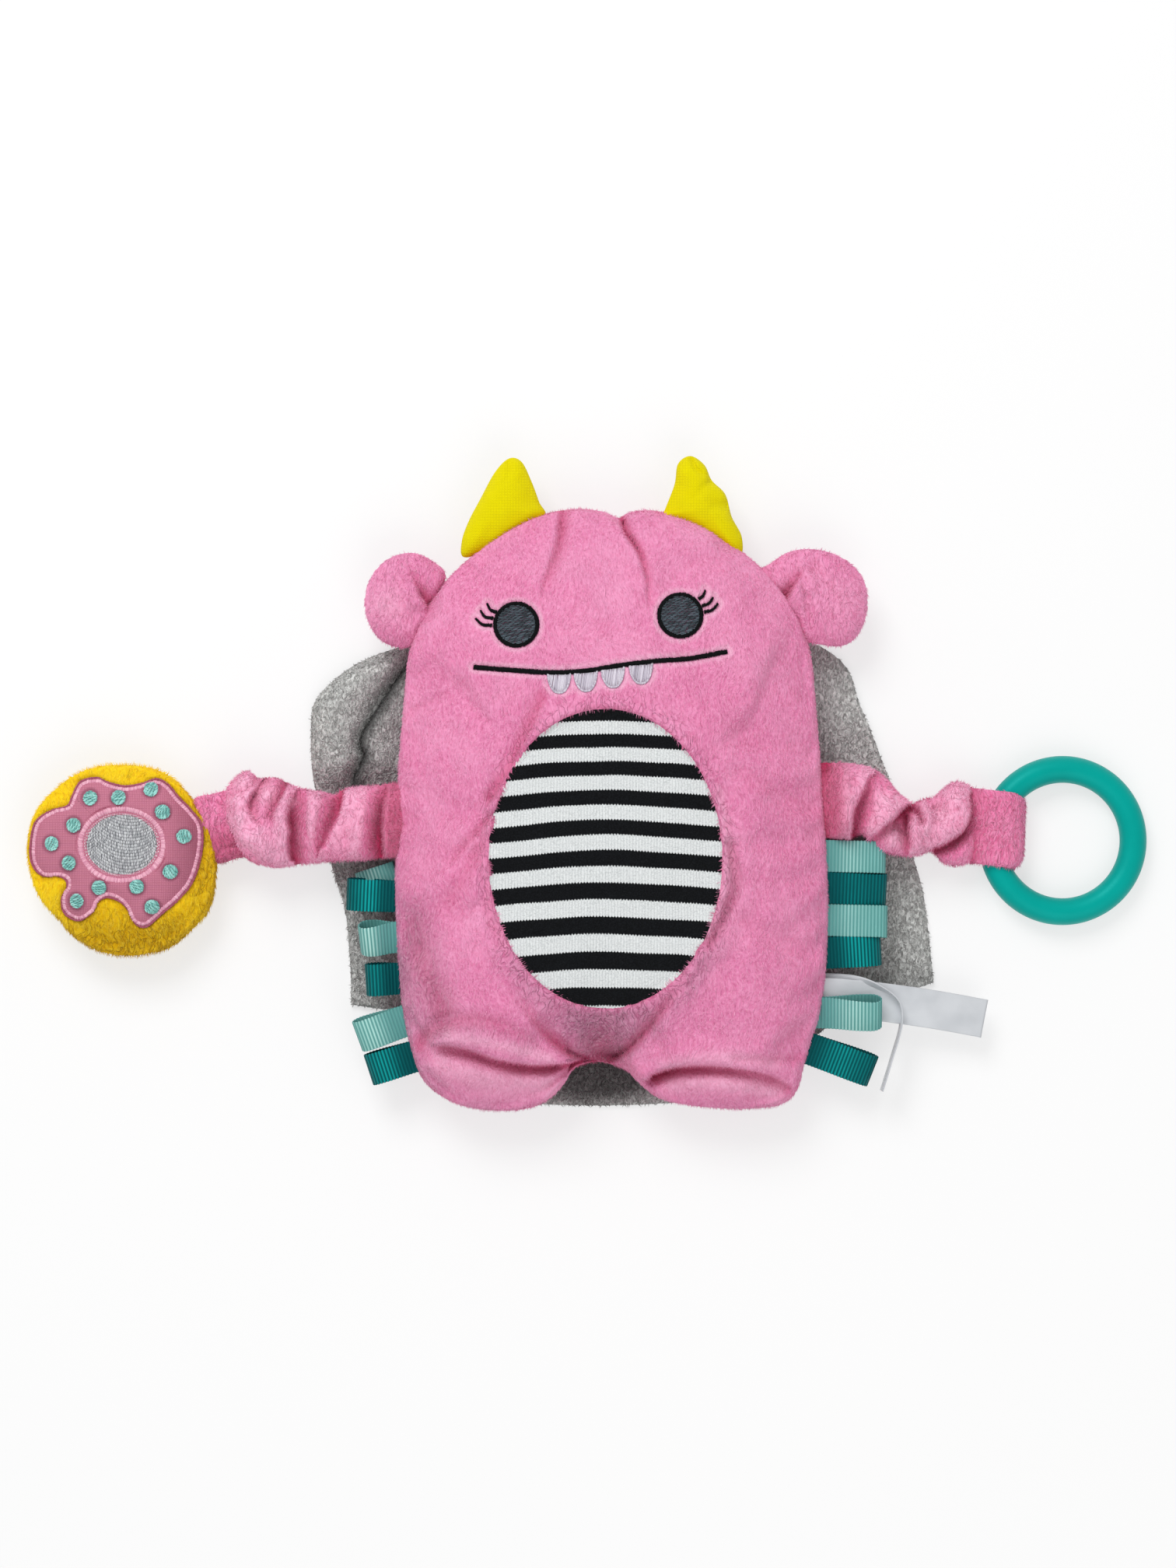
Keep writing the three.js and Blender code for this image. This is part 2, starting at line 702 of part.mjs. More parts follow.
function icingCentre() {
  const disc = icingHole(icingHoleRadius + icingEdge - clearance);
  return disc.intersect(icingLayer(clearance, clearance + icingThickness));
}

// Wrist: a flat plush tab between the sleeve and the doughnut's rim, thin where it is sewn on
const wristDepth = Math.sqrt(doughnutRadius ** 2 - (wristY - doughnutY) ** 2);
const wristRimX = doughnutX + wristDepth;
const wristEndX = wristRimX + clearance + wristLength;

function wristTab() {
  const steps = 6;
  const rimX = (y) =>
    doughnutX + clearance + Math.sqrt(Math.max(0, doughnutRadius ** 2 - (y - doughnutY) ** 2));
  const inner = Array.from({ length: steps + 1 }, (_, i) => {
    const y = wristY + wristHalfWidth * ((2 * i) / steps - 1);
    return new THREE.Vector2(rimX(y), y);
  });
  const outer = [new THREE.Vector2(wristEndX, wristY + wristHalfWidth),
    new THREE.Vector2(wristEndX, wristY - wristHalfWidth)];
  const taper = (x, y) => Math.min(1, 0.12 + (x - rimX(y)) / (wristLength * 0.7));
  const outline = [...inner.reverse(), ...outer.reverse()];
  const centre = new THREE.Vector2(wristEndX - wristLength / 3, wristY);
  const level = (sign) => skin(outline, centre, (s, x, y) => doughnutZ + sign * wristHalfHeight * taper(x, y),
    [1, 0.8, 0.5]);
  return solidBetween(level(1), level(-1));
}

// Ring, tipped so that it rests on the far side and is lifted by the band on the near side
const bandZ = ringTubeRadius + bandThickness + 2 * clearance;
const ringTilt = Math.asin((bandZ - ringTubeRadius) / (2 * ringRadius));
const ringZ = bandZ - ringRadius * Math.sin(ringTilt);
const tubeX = ringX - ringRadius * Math.cos(ringTilt);

// Band: folded round the ring's tube, with slack, and drawn together where it joins the sleeve
const bandBore = ringTubeRadius + clearance;
const bandFoldX = tubeX + bandSlack;
const bandEndX = tubeX - bandBore - bandThickness - bandNeck;

function ringBand() {
  const stadium = (radius) => {
    const shape = new THREE.Shape();
    shape.absarc(bandFoldX, 0, radius, -Math.PI / 2, Math.PI / 2, false);
    shape.absarc(tubeX, 0, radius, Math.PI / 2, 1.5 * Math.PI, false);
    return shape;
  };
  const across = (shape, width) => {
    const options = { depth: width, bevelEnabled: false, curveSegments: 10 };
    const geometry = new THREE.ExtrudeGeometry(shape, options);
    return solidOf(geometry.rotateX(Math.PI / 2).translate(0, ringY + width / 2, bandZ));
  };
  const neckHalf = bandBore * 0.75;
  const neck = new THREE.Shape([
    new THREE.Vector2(bandEndX, -neckHalf), new THREE.Vector2(tubeX, -neckHalf - bandThickness / 2),
    new THREE.Vector2(tubeX, neckHalf + bandThickness / 2), new THREE.Vector2(bandEndX, neckHalf),
  ]);
  const outside = across(stadium(bandBore + bandThickness), bandWidth).add(across(neck, bandWidth));
  return outside.subtract(across(stadium(bandBore), bandWidth + 2));
}

function grabRing() {
  const geometry = new THREE.TorusGeometry(ringRadius, ringTubeRadius, 10, 36);
  return solidOf(geometry);
}

// Sleeve: an oval tube whose gathers swell and pinch, flat where it is sewn into the side seam. It sinks
// towards its end.
function armPath(from, to) {
  return (share) => {
    const point = from.clone().lerp(to, share);
    point.z = from.z + (to.z - from.z) * share * Math.abs(share);
    return point;
  };
}

function ovalSection(centre, halfWidth, halfHeight, ripple) {
  const count = 18;
  return Array.from({ length: count }, (_, i) => {
    const angle = (2 * Math.PI * i) / count;
    const reach = 1 + ripple(angle);
    return new THREE.Vector3(centre.x, centre.y + halfWidth * reach * Math.cos(angle),
      centre.z + halfHeight * reach * Math.sin(angle));
  });
}

function sleeve(arm) {
  const steps = 15;
  const outer = Array.from({ length: steps + 1 }, (_, i) => {
    const share = i / steps;
    const open = Math.min(1, share / 0.25);
    const close = Math.min(1, (1 - share) / 0.2);
    const height = THREE.MathUtils.lerp(armSeamHalfHeight, arm.halfHeight, Math.sin((open * Math.PI) / 2));
    const endHeight = THREE.MathUtils.lerp(arm.endHalfHeight, height, Math.sin((close * Math.PI) / 2));
    const endWidth = THREE.MathUtils.lerp(arm.endHalfWidth, arm.halfWidth, Math.sin((close * Math.PI) / 2));
    const free = Math.min(open, close);
    const gather = 1 + gatherDepth * Math.sin(2 * Math.PI * arm.gathers * share + arm.phase) * free;
    const ripple = (angle) => 0.5 * gatherDepth * Math.cos(3 * angle + 9 * share) * free;
    return ovalSection(arm.path(share), endWidth * gather, endHeight * gather, ripple);
  });
  const past = 0.02;
  const bore = [-past, ...elasticShares, 1 + past].map((share) =>
    boxSection(arm.path(share), elasticWidth / 2 + elasticRoom, elasticThickness / 2 + elasticRoom));
  return loft(outer).subtract(loft(bore));
}

const elasticShares = [0, 0.2, 0.4, 0.6, 0.8, 1];

function boxSection(centre, halfWidth, halfHeight) {
  return [[1, -1], [1, 1], [-1, 1], [-1, -1]].map(([y, z]) =>
    new THREE.Vector3(centre.x, centre.y + y * halfWidth, centre.z + z * halfHeight));
}

function elastic(arm) {
  const sections = elasticShares.map((share) =>
    boxSection(arm.path(share), elasticWidth / 2, elasticThickness / 2));
  return loft(sections);
}

// How far out the right edge of an outline lies at a height, or nothing where the outline doesn't reach
function edgeX(outline, y) {
  const crossings = outline.map((p, i) => {
    const next = outline[(i + 1) % outline.length];
    const crosses = (p.y - y) * (next.y - y) <= 0 && p.y !== next.y;
    return crosses ? p.x + (next.x - p.x) * ((y - p.y) / (next.y - p.y)) : 0;
  });
  return Math.max(...crossings);
}

// Place of a flat end that is sewn on beside the body, so that it clears the side all along its width
const rightFootRim = footOutline(1);

function sideSeamX(y, halfWidth, lean = 0) {
  const shares = [-1, -0.75, -0.5, -0.25, 0, 0.25, 0.5, 0.75, 1];
  const reach = shares.map((share) => {
    const level = y + share * halfWidth * Math.cos(lean);
    return Math.max(edgeX(bodyRim, level), edgeX(rightFootRim, level)) + share * halfWidth * Math.sin(lean);
  });
  return Math.max(...reach) + clearance;
}

const doughnutArm = {
  path: armPath(
    new THREE.Vector3(-sideSeamX(doughnutArmY, doughnutArmHalfWidth), doughnutArmY, seamZ),
    new THREE.Vector3(wristEndX + clearance, wristY, doughnutZ),
  ),
  halfWidth: doughnutArmHalfWidth,
  halfHeight: doughnutArmHalfHeight,
  endHalfWidth: wristHalfWidth,
  endHalfHeight: wristHalfHeight,
  gathers: 3,
  phase: 0.6,
};
const ringArm = {
  path: armPath(
    new THREE.Vector3(sideSeamX(ringArmY, ringArmHalfWidth), ringArmY, seamZ),
    new THREE.Vector3(bandEndX - clearance, ringY, bandZ),
  ),
  halfWidth: ringArmHalfWidth,
  halfHeight: ringArmHalfHeight,
  endHalfWidth: bandWidth / 2,
  endHalfHeight: bandBore * 0.75,
  gathers: 2.5,
  phase: -0.4,
};

// Ribbon loop: a teardrop of ribbon, both ends caught in the side seam at its narrow end
function teardrop(startX, startRadius, endX, endRadius) {
  const lean = Math.asin((endRadius - startRadius) / (endX - startX));
  const shape = new THREE.Shape();
  shape.absarc(endX, 0, endRadius, -Math.PI / 2 - lean, Math.PI / 2 + lean, false);
  shape.absarc(startX, 0, startRadius, Math.PI / 2 + lean, 1.5 * Math.PI - lean, false);
  return shape;
}

function ribbonLoop(length) {
  const foldX = length - ribbonFoldRadius;
  const shape = teardrop(0, ribbonBaseRadius, foldX, ribbonFoldRadius);
  const holeStart = 2 * ribbonBaseRadius;
  const holeRadius = ribbonBaseRadius / 4;
  shape.holes.push(teardrop(holeStart, holeRadius, foldX, ribbonFoldRadius - ribbonThickness));
  const options = { depth: ribbonWidth, bevelEnabled: false, curveSegments: 5 };
  const geometry = new THREE.ExtrudeGeometry(shape, options);
  return geometry.rotateX(Math.PI / 2).translate(0, ribbonWidth / 2, 0);
}

// Tag: a flat leaf that dips towards the cape, and a second leaf on its edge that curls down beside it
function tagStrip() {
  const steps = 6;
  const dip = (share) => -tagDrop * share * share * (3 - 2 * share);
  const line = Array.from({ length: steps + 1 }, (_, i) =>
    new THREE.Vector2(tagLength * i / steps, dip(i / steps)));
  const shape = new THREE.Shape([
    ...line.map((p) => new THREE.Vector2(p.x, p.y - tagThickness / 2)),
    ...line.map((p) => new THREE.Vector2(p.x, p.y + tagThickness / 2)).reverse(),
  ]);
  const geometry = new THREE.ExtrudeGeometry(shape, { depth: tagWidth, bevelEnabled: false });
  const leaf = solidOf(geometry.rotateX(Math.PI / 2).translate(0, tagWidth / 2, 0));
  const lean = THREE.MathUtils.degToRad(tagLeafLean);
  const start = new THREE.Vector2(tagLeafX, tagWidth / 2 - tagThickness);
  const reach = new THREE.Vector2(Math.cos(lean), Math.sin(lean)).multiplyScalar(tagLeafLength);
  const end = start.clone().add(reach);
  const curl = splinePoints([start, start.clone().lerp(end, 0.45).add(new THREE.Vector2(2, 0)), end], 8);
  const edgeOn = stripAlong(curl, tagThickness)
    .intersect(block(-tall, tall, -tall, tall, dip(0.5) - tagThickness, dip(0.5) - tagThickness + 6));
  return leaf.add(edgeOn);
}

// Cape: a grid of cloth from the neck seam to the hem, flat under the body and rumpled where it spreads
// past it
function cape() {
  const rows = 11;
  const columns = 17;
  const sideOf = (neckX, edge) => splinePoints(
    [new THREE.Vector2(neckX, capeNeckY), ...edge.map(([x, y]) => new THREE.Vector2(x, y))], rows);
  const rightSide = sideOf(capeNeckHalfWidth, capeRightEdge);
  const leftSide = sideOf(-capeNeckHalfWidth, capeLeftEdge);
  const hemLine = capeHem.map(([x, y]) => new THREE.Vector2(x, y));
  const hem = splinePoints([leftSide[rows], ...hemLine, rightSide[rows]], columns);
  const bump = (x, y, at) =>
    Math.exp(-(((x - at.x) / at.width) ** 2) - ((y - at.y) / at.reach) ** 2) * at.height;
  const fold = { ...capeFold, height: capeFoldHeight, width: capeFoldWidth };
  const lift = (x, y) => bump(x, y, fold) + bump(x, y, capeWave);
  const grid = Array.from({ length: rows + 1 }, (_, r) => Array.from({ length: columns + 1 }, (__, c) => {
    const down = r / rows;
    const across = c / columns;
    const straight = leftSide[r].clone().lerp(rightSide[r], across);
    const chord = leftSide[rows].clone().lerp(rightSide[rows], across);
    return straight.add(hem[c].clone().sub(chord).multiplyScalar(down * down));
  }));
  const points = [];
  const level = (height) => grid.map((row) => row.map((p) => {
    const beside = Math.max(0, Math.abs(p.x) - sideHalfWidth(p.y));
    const raised = lift(p.x, p.y) * Math.min(1, beside / 6);
    return points.push(new THREE.Vector3(p.x, p.y, height + (raised < 0.05 ? 0 : raised))) - 1;
  }));
  const bottom = level(0);
  const top = level(capeThickness);
  const faces = [];
  for (let r = 0; r < rows; r += 1) {
    for (let c = 0; c < columns; c += 1) {
      faces.push([top[r][c], top[r + 1][c], top[r + 1][c + 1], top[r][c + 1]]);
      faces.push([bottom[r][c], bottom[r][c + 1], bottom[r + 1][c + 1], bottom[r + 1][c]]);
    }
  }
  const border = [
    ...bottom[0].map((_, c) => [0, c]),
    ...bottom.slice(1).map((_, r) => [r + 1, columns]),
    ...bottom[rows].slice(1).map((_, c) => [rows, columns - 1 - c]),
    ...bottom.slice(1, -1).map((_, r) => [rows - 1 - r, 0]),
  ];
  border.forEach(([r, c], i) => {
    const [nextR, nextC] = border[(i + 1) % border.length];
    faces.push([bottom[r][c], top[r][c], top[nextR][nextC], bottom[nextR][nextC]]);
  });
  return solidOf(geometryFromFaces(points, faces));
}

// Assembly: each moving piece has a group of its own, with the line that it turns about or slides along
const toy = new THREE.Group();
toy.userData.joints = [];

function body(name, meshes, joint) {
  const group = new THREE.Group();
  group.name = name;
  group.add(...meshes);
  if (joint) toy.userData.joints.push({ body: name, ...joint });
  toy.add(group);
  return group;
}

const sides = [["left", -1], ["right", 1]];
const teeth = Array.from({ length: toothCount }, (_, i) => pieceOf(`tooth_${i + 1}`, tooth(i), whiteThread));

body("torso", [
  pieceOf("front_panel", frontPanel(), pinkPlush),
  pieceOf("belly_patch", bellyPatch(), stripedJersey),
  pieceOf("body_batting", bodyBatting(), whiteBatting),
  pieceOf("upper_back_panel", upperBackPanel(), pinkPlush),
  pieceOf("lower_back_panel", lowerBackPanel(), pinkPlush),
  pieceOf("hook_strip", closureStrip(plushThickness + clearance), blackTape),
  pieceOf("loop_strip", closureStrip(plushThickness + stripThickness + 2 * clearance), blackTape),
  pieceOf("heat_pack_pouch", packPouch(), cottonPouch),
  pieceOf("heat_pack_grain", packSolid(packWall + clearance), grainFill),
  ...sides.flatMap(([label, side]) => [
    pieceOf(`${label}_eye`, eyeDisc(side), greyThread),
    pieceOf(`${label}_eye_outline`, eyeRing(side), blackThread),
    pieceOf(`${label}_foot`, foot(side), pinkPlush),
  ]),
  pieceOf("mouth_line", mouthLine(), blackThread),
  ...teeth,
]);

for (const [label, side] of sides) {
  const hinge = (rim) => ({
    point: [side * rim.pivot.x, rim.pivot.y, seamZ],
    axis: [rim.along.x, side * rim.along.y, 0],
  });
  body(`${label}_ear`, [pieceOf(`${label}_ear`, ear(side), pinkPlush)], hinge(earRim));
  body(`${label}_horn`, [pieceOf(`${label}_horn`, horn(side), hornFelt)], hinge(hornRim));
}

for (const [label, arm] of [["doughnut_arm", doughnutArm], ["ring_arm", ringArm]]) {
  const start = arm.path(0);
  const stretch = arm.path(1).sub(start).normalize();
  body(label, [
    pieceOf(`${label}_sleeve`, sleeve(arm), pinkPlush),
    pieceOf(`${label}_elastic`, elastic(arm), whiteElastic),
  ], { point: start.toArray(), axis: [0, 1, 0], stretch: stretch.toArray() });
}

body("doughnut_wrist", [pieceOf("doughnut_wrist", wristTab(), pinkPlush)]);

body("doughnut", [
  pieceOf("doughnut_front", doughnutFront(), yellowPlush),
  pieceOf("doughnut_back", doughnutBack(), yellowPlush),
  pieceOf("doughnut_stuffing", doughnutStuffing(), whiteBatting),
  pieceOf("doughnut_icing", icing(), icingSatin),
  pieceOf("doughnut_icing_border", icingBorder(), pinkThread),
  pieceOf("doughnut_centre", icingCentre(), silverThread),
], {
  point: [wristRimX + clearance, wristY, doughnutZ],
  axis: [-(wristY - doughnutY) / doughnutRadius, wristDepth / doughnutRadius, 0],
});

body("ring_band", [pieceOf("ring_band", ringBand(), pinkPlush)]);

const ringMesh = pieceOf("grab_ring", grabRing(), ringPlastic);
ringMesh.position.set(ringX, ringY, ringZ);
ringMesh.rotation.y = ringTilt;
body("grab_ring", [ringMesh], {
  point: ringMesh.position.toArray(),
  axis: [Math.sin(ringTilt), 0, Math.cos(ringTilt)],
});

for (const [label, side, loops] of [["left", -1, leftRibbons], ["right", 1, rightRibbons]]) {
  loops.forEach((loop, i) => {
    const name = `${label}_ribbon_${i + 1}`;
    const mesh = pieceOf(name, ribbonLoop(loop.length), i % 2 ? deepRibbon : paleRibbon);
    const hinge = new THREE.Group();
    const yaw = THREE.MathUtils.degToRad(loop.yaw);
    const x = sideSeamX(loop.y, ribbonWidth / 2, side * yaw) + ribbonBaseRadius;
    hinge.position.set(side * x, loop.y, seamZ);
    hinge.rotation.set(0, 0, side > 0 ? yaw : Math.PI + yaw);
    mesh.rotation.y = THREE.MathUtils.degToRad(loop.droop);
    hinge.add(mesh);
    const axis = new THREE.Vector3(0, -1, 0).applyEuler(hinge.rotation);
    body(name, [hinge], { point: hinge.position.toArray(), axis: axis.toArray() });
  });
}

const tagMesh = pieceOf("side_tag", tagStrip(), whiteSatin);
const tagZ = seamZ - ribbonBaseRadius - clearance - tagThickness / 2;
tagMesh.position.set(sideSeamX(tagY, tagWidth / 2) + clearance, tagY, tagZ);
tagMesh.rotation.z = THREE.MathUtils.degToRad(tagTilt);
body("side_tag", [tagMesh], { point: tagMesh.position.toArray(), axis: [0, -1, 0] });

const capeHinge = { point: [0, capeNeckY, capeThickness / 2], axis: [1, 0, 0] };
body("cape", [pieceOf("cape", cape(), greyFleece)], capeHinge);

export default toy;
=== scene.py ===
import json
import math
import bmesh
import bpy
import numpy as np
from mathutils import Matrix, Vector
from mathutils.bvhtree import BVHTree

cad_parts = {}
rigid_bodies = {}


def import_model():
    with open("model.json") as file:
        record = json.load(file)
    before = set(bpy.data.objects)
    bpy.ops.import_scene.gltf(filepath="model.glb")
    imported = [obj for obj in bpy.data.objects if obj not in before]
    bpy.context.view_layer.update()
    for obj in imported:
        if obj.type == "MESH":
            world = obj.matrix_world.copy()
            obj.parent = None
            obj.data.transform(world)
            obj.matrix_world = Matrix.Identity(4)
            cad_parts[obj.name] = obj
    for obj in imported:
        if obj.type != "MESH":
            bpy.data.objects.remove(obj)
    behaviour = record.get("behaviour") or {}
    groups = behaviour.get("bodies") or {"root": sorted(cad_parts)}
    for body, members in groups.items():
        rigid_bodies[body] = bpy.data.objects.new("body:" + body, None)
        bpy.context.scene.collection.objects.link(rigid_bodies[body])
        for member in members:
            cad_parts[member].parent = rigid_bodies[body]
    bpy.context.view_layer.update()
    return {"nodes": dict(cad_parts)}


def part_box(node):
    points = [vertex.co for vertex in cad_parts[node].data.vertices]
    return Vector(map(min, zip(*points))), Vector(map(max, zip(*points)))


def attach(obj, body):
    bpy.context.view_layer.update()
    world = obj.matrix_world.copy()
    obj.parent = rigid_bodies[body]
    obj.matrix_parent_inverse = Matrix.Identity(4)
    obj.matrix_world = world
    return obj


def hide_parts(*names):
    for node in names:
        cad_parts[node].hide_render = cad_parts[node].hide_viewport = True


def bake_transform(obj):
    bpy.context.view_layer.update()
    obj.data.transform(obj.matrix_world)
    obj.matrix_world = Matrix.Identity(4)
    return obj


for leftover in list(bpy.data.objects):
    bpy.data.objects.remove(leftover)
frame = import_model()

mm = 0.001  # lengths are in millimetres until a mesh is made


# Nodes

def put(tree, kind, inputs=None, **settings):
    node = tree.nodes.new(kind)
    for key, value in settings.items():
        setattr(node, key, value)
    for key, value in (inputs or {}).items():
        if isinstance(value, bpy.types.NodeSocket):
            tree.links.new(value, node.inputs[key])
        else:
            node.inputs[key].default_value = value
    return node.outputs


def calc(tree, operation, *values):
    return put(tree, "ShaderNodeMath", dict(enumerate(values)), operation=operation)[0]


def times(tree, first, second):
    return calc(tree, "MULTIPLY", first, second)


def plus(tree, first, second):
    return calc(tree, "ADD", first, second)


def minus(tree, first, second):
    return calc(tree, "SUBTRACT", first, second)


def vectors(tree, operation, first, second):
    return put(tree, "ShaderNodeVectorMath", {0: first, 1: second}, operation=operation)[0]


def scaled(tree, vector, amount):
    return put(tree, "ShaderNodeVectorMath", {0: vector, "Scale": amount}, operation="SCALE")[0]


def noise(tree, place, scale, detail=2.0, rough=0.5, distort=0.0):
    inputs = {"Vector": place, "Scale": scale, "Detail": detail, "Roughness": rough, "Distortion": distort}
    return put(tree, "ShaderNodeTexNoise", inputs)[0]


def mix(tree, share, first, second, way="MIX"):
    return put(tree, "ShaderNodeMix", {0: share, 6: first, 7: second}, data_type="RGBA", blend_type=way)[2]


def remap(tree, value, low, high, to=(0, 1)):
    return put(tree, "ShaderNodeMapRange", {0: value, 1: low, 2: high, 3: to[0], 4: to[1]})[0]


socketKinds = {float: "Float", int: "Int", tuple: "Vector"}


def newGroup(name, kind, inputs, outputs):  # a socket has a first value, or else the name of its kind
    group = bpy.data.node_groups.new(name, kind)
    for way, sockets in (("INPUT", inputs), ("OUTPUT", outputs)):
        for label, value in sockets.items():
            socket = "NodeSocket" + socketKinds.get(type(value), value)
            made = group.interface.new_socket(label, in_out=way, socket_type=socket)
            if not isinstance(value, str):
                made.default_value = value
    return group, group.nodes.new("NodeGroupInput").outputs, group.nodes.new("NodeGroupOutput").inputs


def tint(red, green, blue):  # screen colour to linear
    parts = [c / 255 for c in (red, green, blue)]
    return tuple(c / 12.92 if c <= 0.04045 else ((c + 0.055) / 1.055) ** 2.4 for c in parts) + (1.0,)


def hold(name, data):  # an object for a camera, a lamp or a mesh
    holder = bpy.data.objects.new(name, data)
    bpy.context.collection.objects.link(holder)
    return holder


# Camera and light

photoView = dict(x=-8.75, y=10.6, z=1600, tall=630, level=20, sensor=36)
studio = dict(
    sky=0.55,
    backdrop=0.94,
    softboxes=[
        dict(name="key", place=(-0.45, 1.0, 1.25), size=0.8, power=14.5),
        dict(name="fill", place=(0.35, -1.0, 1.3), size=1.2, power=6.5),
    ],
)


def setCamera(view):
    camera = bpy.data.cameras.new("overhead")
    camera.sensor_width = view["sensor"]
    camera.lens = view["sensor"] * (view["z"] - view["level"]) / view["tall"]
    holder = hold("overhead", camera)
    holder.location = (view["x"] * mm, view["y"] * mm, view["z"] * mm)
    bpy.context.scene.camera = holder


def seenRays(tree):  # 1 where the camera or a shiny surface sees the background
    rays = put(tree, "ShaderNodeLightPath")
    total = rays["Is Camera Ray"]
    for name in ("Is Glossy Ray", "Is Transmission Ray"):
        total = calc(tree, "MAXIMUM", total, rays[name])
    return total


def setLight(look):
    world = bpy.data.worlds.new("room")
    world.use_nodes = True
    room = world.node_tree
    lit, pale = room.nodes["Background"], room.nodes.new("ShaderNodeBackground")
    for background, strength in ((lit, look["sky"]), (pale, look["backdrop"])):
        background.inputs["Color"].default_value = (1, 1, 1, 1)
        background.inputs["Strength"].default_value = strength
    mixed = put(room, "ShaderNodeMixShader", {0: seenRays(room), 1: lit.outputs[0], 2: pale.outputs[0]})[0]
    room.links.new(mixed, room.nodes["World Output"].inputs[0])
    bpy.context.scene.world = world
    for box in look["softboxes"]:
        lamp = bpy.data.lights.new(box["name"], "AREA")
        lamp.size = box["size"]
        lamp.energy = box["power"]
        holder = hold(box["name"], lamp)
        holder.location = box["place"]
        holder.rotation_euler = (-Vector(box["place"])).to_track_quat("-Z", "Y").to_euler()


setCamera(photoView)
setLight(studio)
bpy.context.scene.view_settings.view_transform = "Standard"
print("camera and light are up")


# Numbers

def ease(low, high, value):
    share = np.clip((value - low) / (high - low), 0, 1)
    return share * share * (3 - 2 * share)


def bell(distance, width):
    return np.exp(-((distance / width) ** 2))


noiseTable = dict(size=4096, steps=(73856093, 19349663, 83492791))


def softNoise(points, size, seed):  # smooth noise from -1 to 1
    table = np.random.default_rng(seed).random(noiseTable["size"]) * 2 - 1
    cell = np.floor(np.asarray(points) / size).astype(np.int64)
    part = np.asarray(points) / size - cell
    part = part * part * (3 - 2 * part)
    total = 0
    for corner in np.ndindex(2, 2, 2):
        key = (cell + corner) @ np.array(noiseTable["steps"])
        weight = np.prod(np.where(np.array(corner) == 1, part, 1 - part), axis=-1)
        total = total + weight * table[key % noiseTable["size"]]
    return total


def curveThrough(points, count, closed=False):  # smooth curve, evenly spaced
    points = np.asarray(points, float)
    last = len(points) - 1
    step = np.linspace(0, 1, 20, endpoint=False)[:, None]
    path = []
    for k in range(last + closed):
        near = [k - 1, k, k + 1, k + 2]
        near = [n % (last + 1) for n in near] if closed else np.clip(near, 0, last)
        a, b, c, d = points[near]
        bend = 2 * a - 5 * b + 4 * c - d + step * (3 * (b - c) + d - a)
        path.append(b + 0.5 * step * (c - a + step * bend))
    path = np.concatenate(path + [points[:1] if closed else points[-1:]])
    along = np.append(0, np.cumsum(np.linalg.norm(np.diff(path, axis=0), axis=1)))
    wanted = np.linspace(0, along[-1], count, endpoint=not closed)
    return np.stack([np.interp(wanted, along, path[:, k]) for k in range(path.shape[1])], 1)


def circle(count):  # angles round a circle
    return np.linspace(0, 2 * math.pi, count, endpoint=False)


def lengthOf(path):
    return np.linalg.norm(np.diff(path, axis=0), axis=1).sum()


def lengths(ways):
    return np.linalg.norm(ways, axis=-1, keepdims=True)


def unit(ways):
    return ways / lengths(ways)


def withHeight(flat, z):
    return np.concatenate([flat, z[..., None]], -1)


def addLumps(lift, points, lumps, seed, mask=1.0):  # each lump has a size and a height
    for k, (size, amount) in enumerate(lumps):
        lift = lift + amount * mask * softNoise(points, size, seed + k)
    return lift


def nearPath(x, y, path):  # distance to a line of points, its side, and the share of the way along it
    best, side, share = np.full(x.shape, 1e9), np.zeros(x.shape), np.zeros(x.shape)
    for k in range(len(path) - 1):
        (ax, ay), (dx, dy) = path[k], path[k + 1] - path[k]
        t = np.clip(((x - ax) * dx + (y - ay) * dy) / max(dx * dx + dy * dy, 1e-9), 0, 1)
        ox, oy = x - ax - t * dx, y - ay - t * dy
        distance = np.hypot(ox, oy)
        closer = distance < best
        best = np.where(closer, distance, best)
        side = np.where(closer, np.sign(dx * oy - dy * ox), side)
        share = np.where(closer, (k + t) / (len(path) - 1), share)
    return best, side, share


def strokesAt(x, y, strokes):  # strongest of some soft strokes, each a path with its width and strength
    return np.max([strength * bell(nearPath(x, y, curveThrough(path, 16))[0], width)
                   for path, width, strength in strokes], axis=0)


def pleat(path, depth, width, **more):
    return dict(path=path, depth=depth, width=width, **more)


def foldHeights(x, y, folds):  # valleys with raised shoulders; over is the side that laps over the other
    total, paintedShade = np.zeros(x.shape), np.zeros(x.shape)
    for fold in folds:
        distance, side, share = nearPath(x, y, curveThrough(fold["path"], 20))
        first, last = fold.get("ends", (1, 0))
        strength = first + (last - first) * share
        width, over = fold["width"], fold.get("over", 0)
        sharp = fold.get("sharp", 0.4 * width)
        valley = bell(distance, np.where(side == over, sharp, width) if over else width)
        shoulder = bell(distance - 2 * width, 1.5 * width)
        shoulder = np.where(side == over, bell(distance - 2.2 * sharp, 5 * sharp), 0) if over else shoulder
        total += strength * (fold.get("lip", 0.35) * fold["depth"] * shoulder - fold["depth"] * valley)
        # painted shade in each valley
        paintedShade = np.maximum(paintedShade, strength * valley ** 1.3 * min(1, max(0, fold["depth"] - 1.5) / 4))
    return total, paintedShade


# Meshes

def makePiece(name, points, faces, material):
    mesh = bpy.data.meshes.new(name)
    mesh.from_pydata(np.asarray(points) * mm, [], faces)
    mesh.materials.append(material)
    work = bmesh.new()
    work.from_mesh(mesh)
    bmesh.ops.recalc_face_normals(work, faces=work.faces)
    work.to_mesh(mesh)
    work.free()
    mesh.shade_smooth()
    return hold(name, mesh)


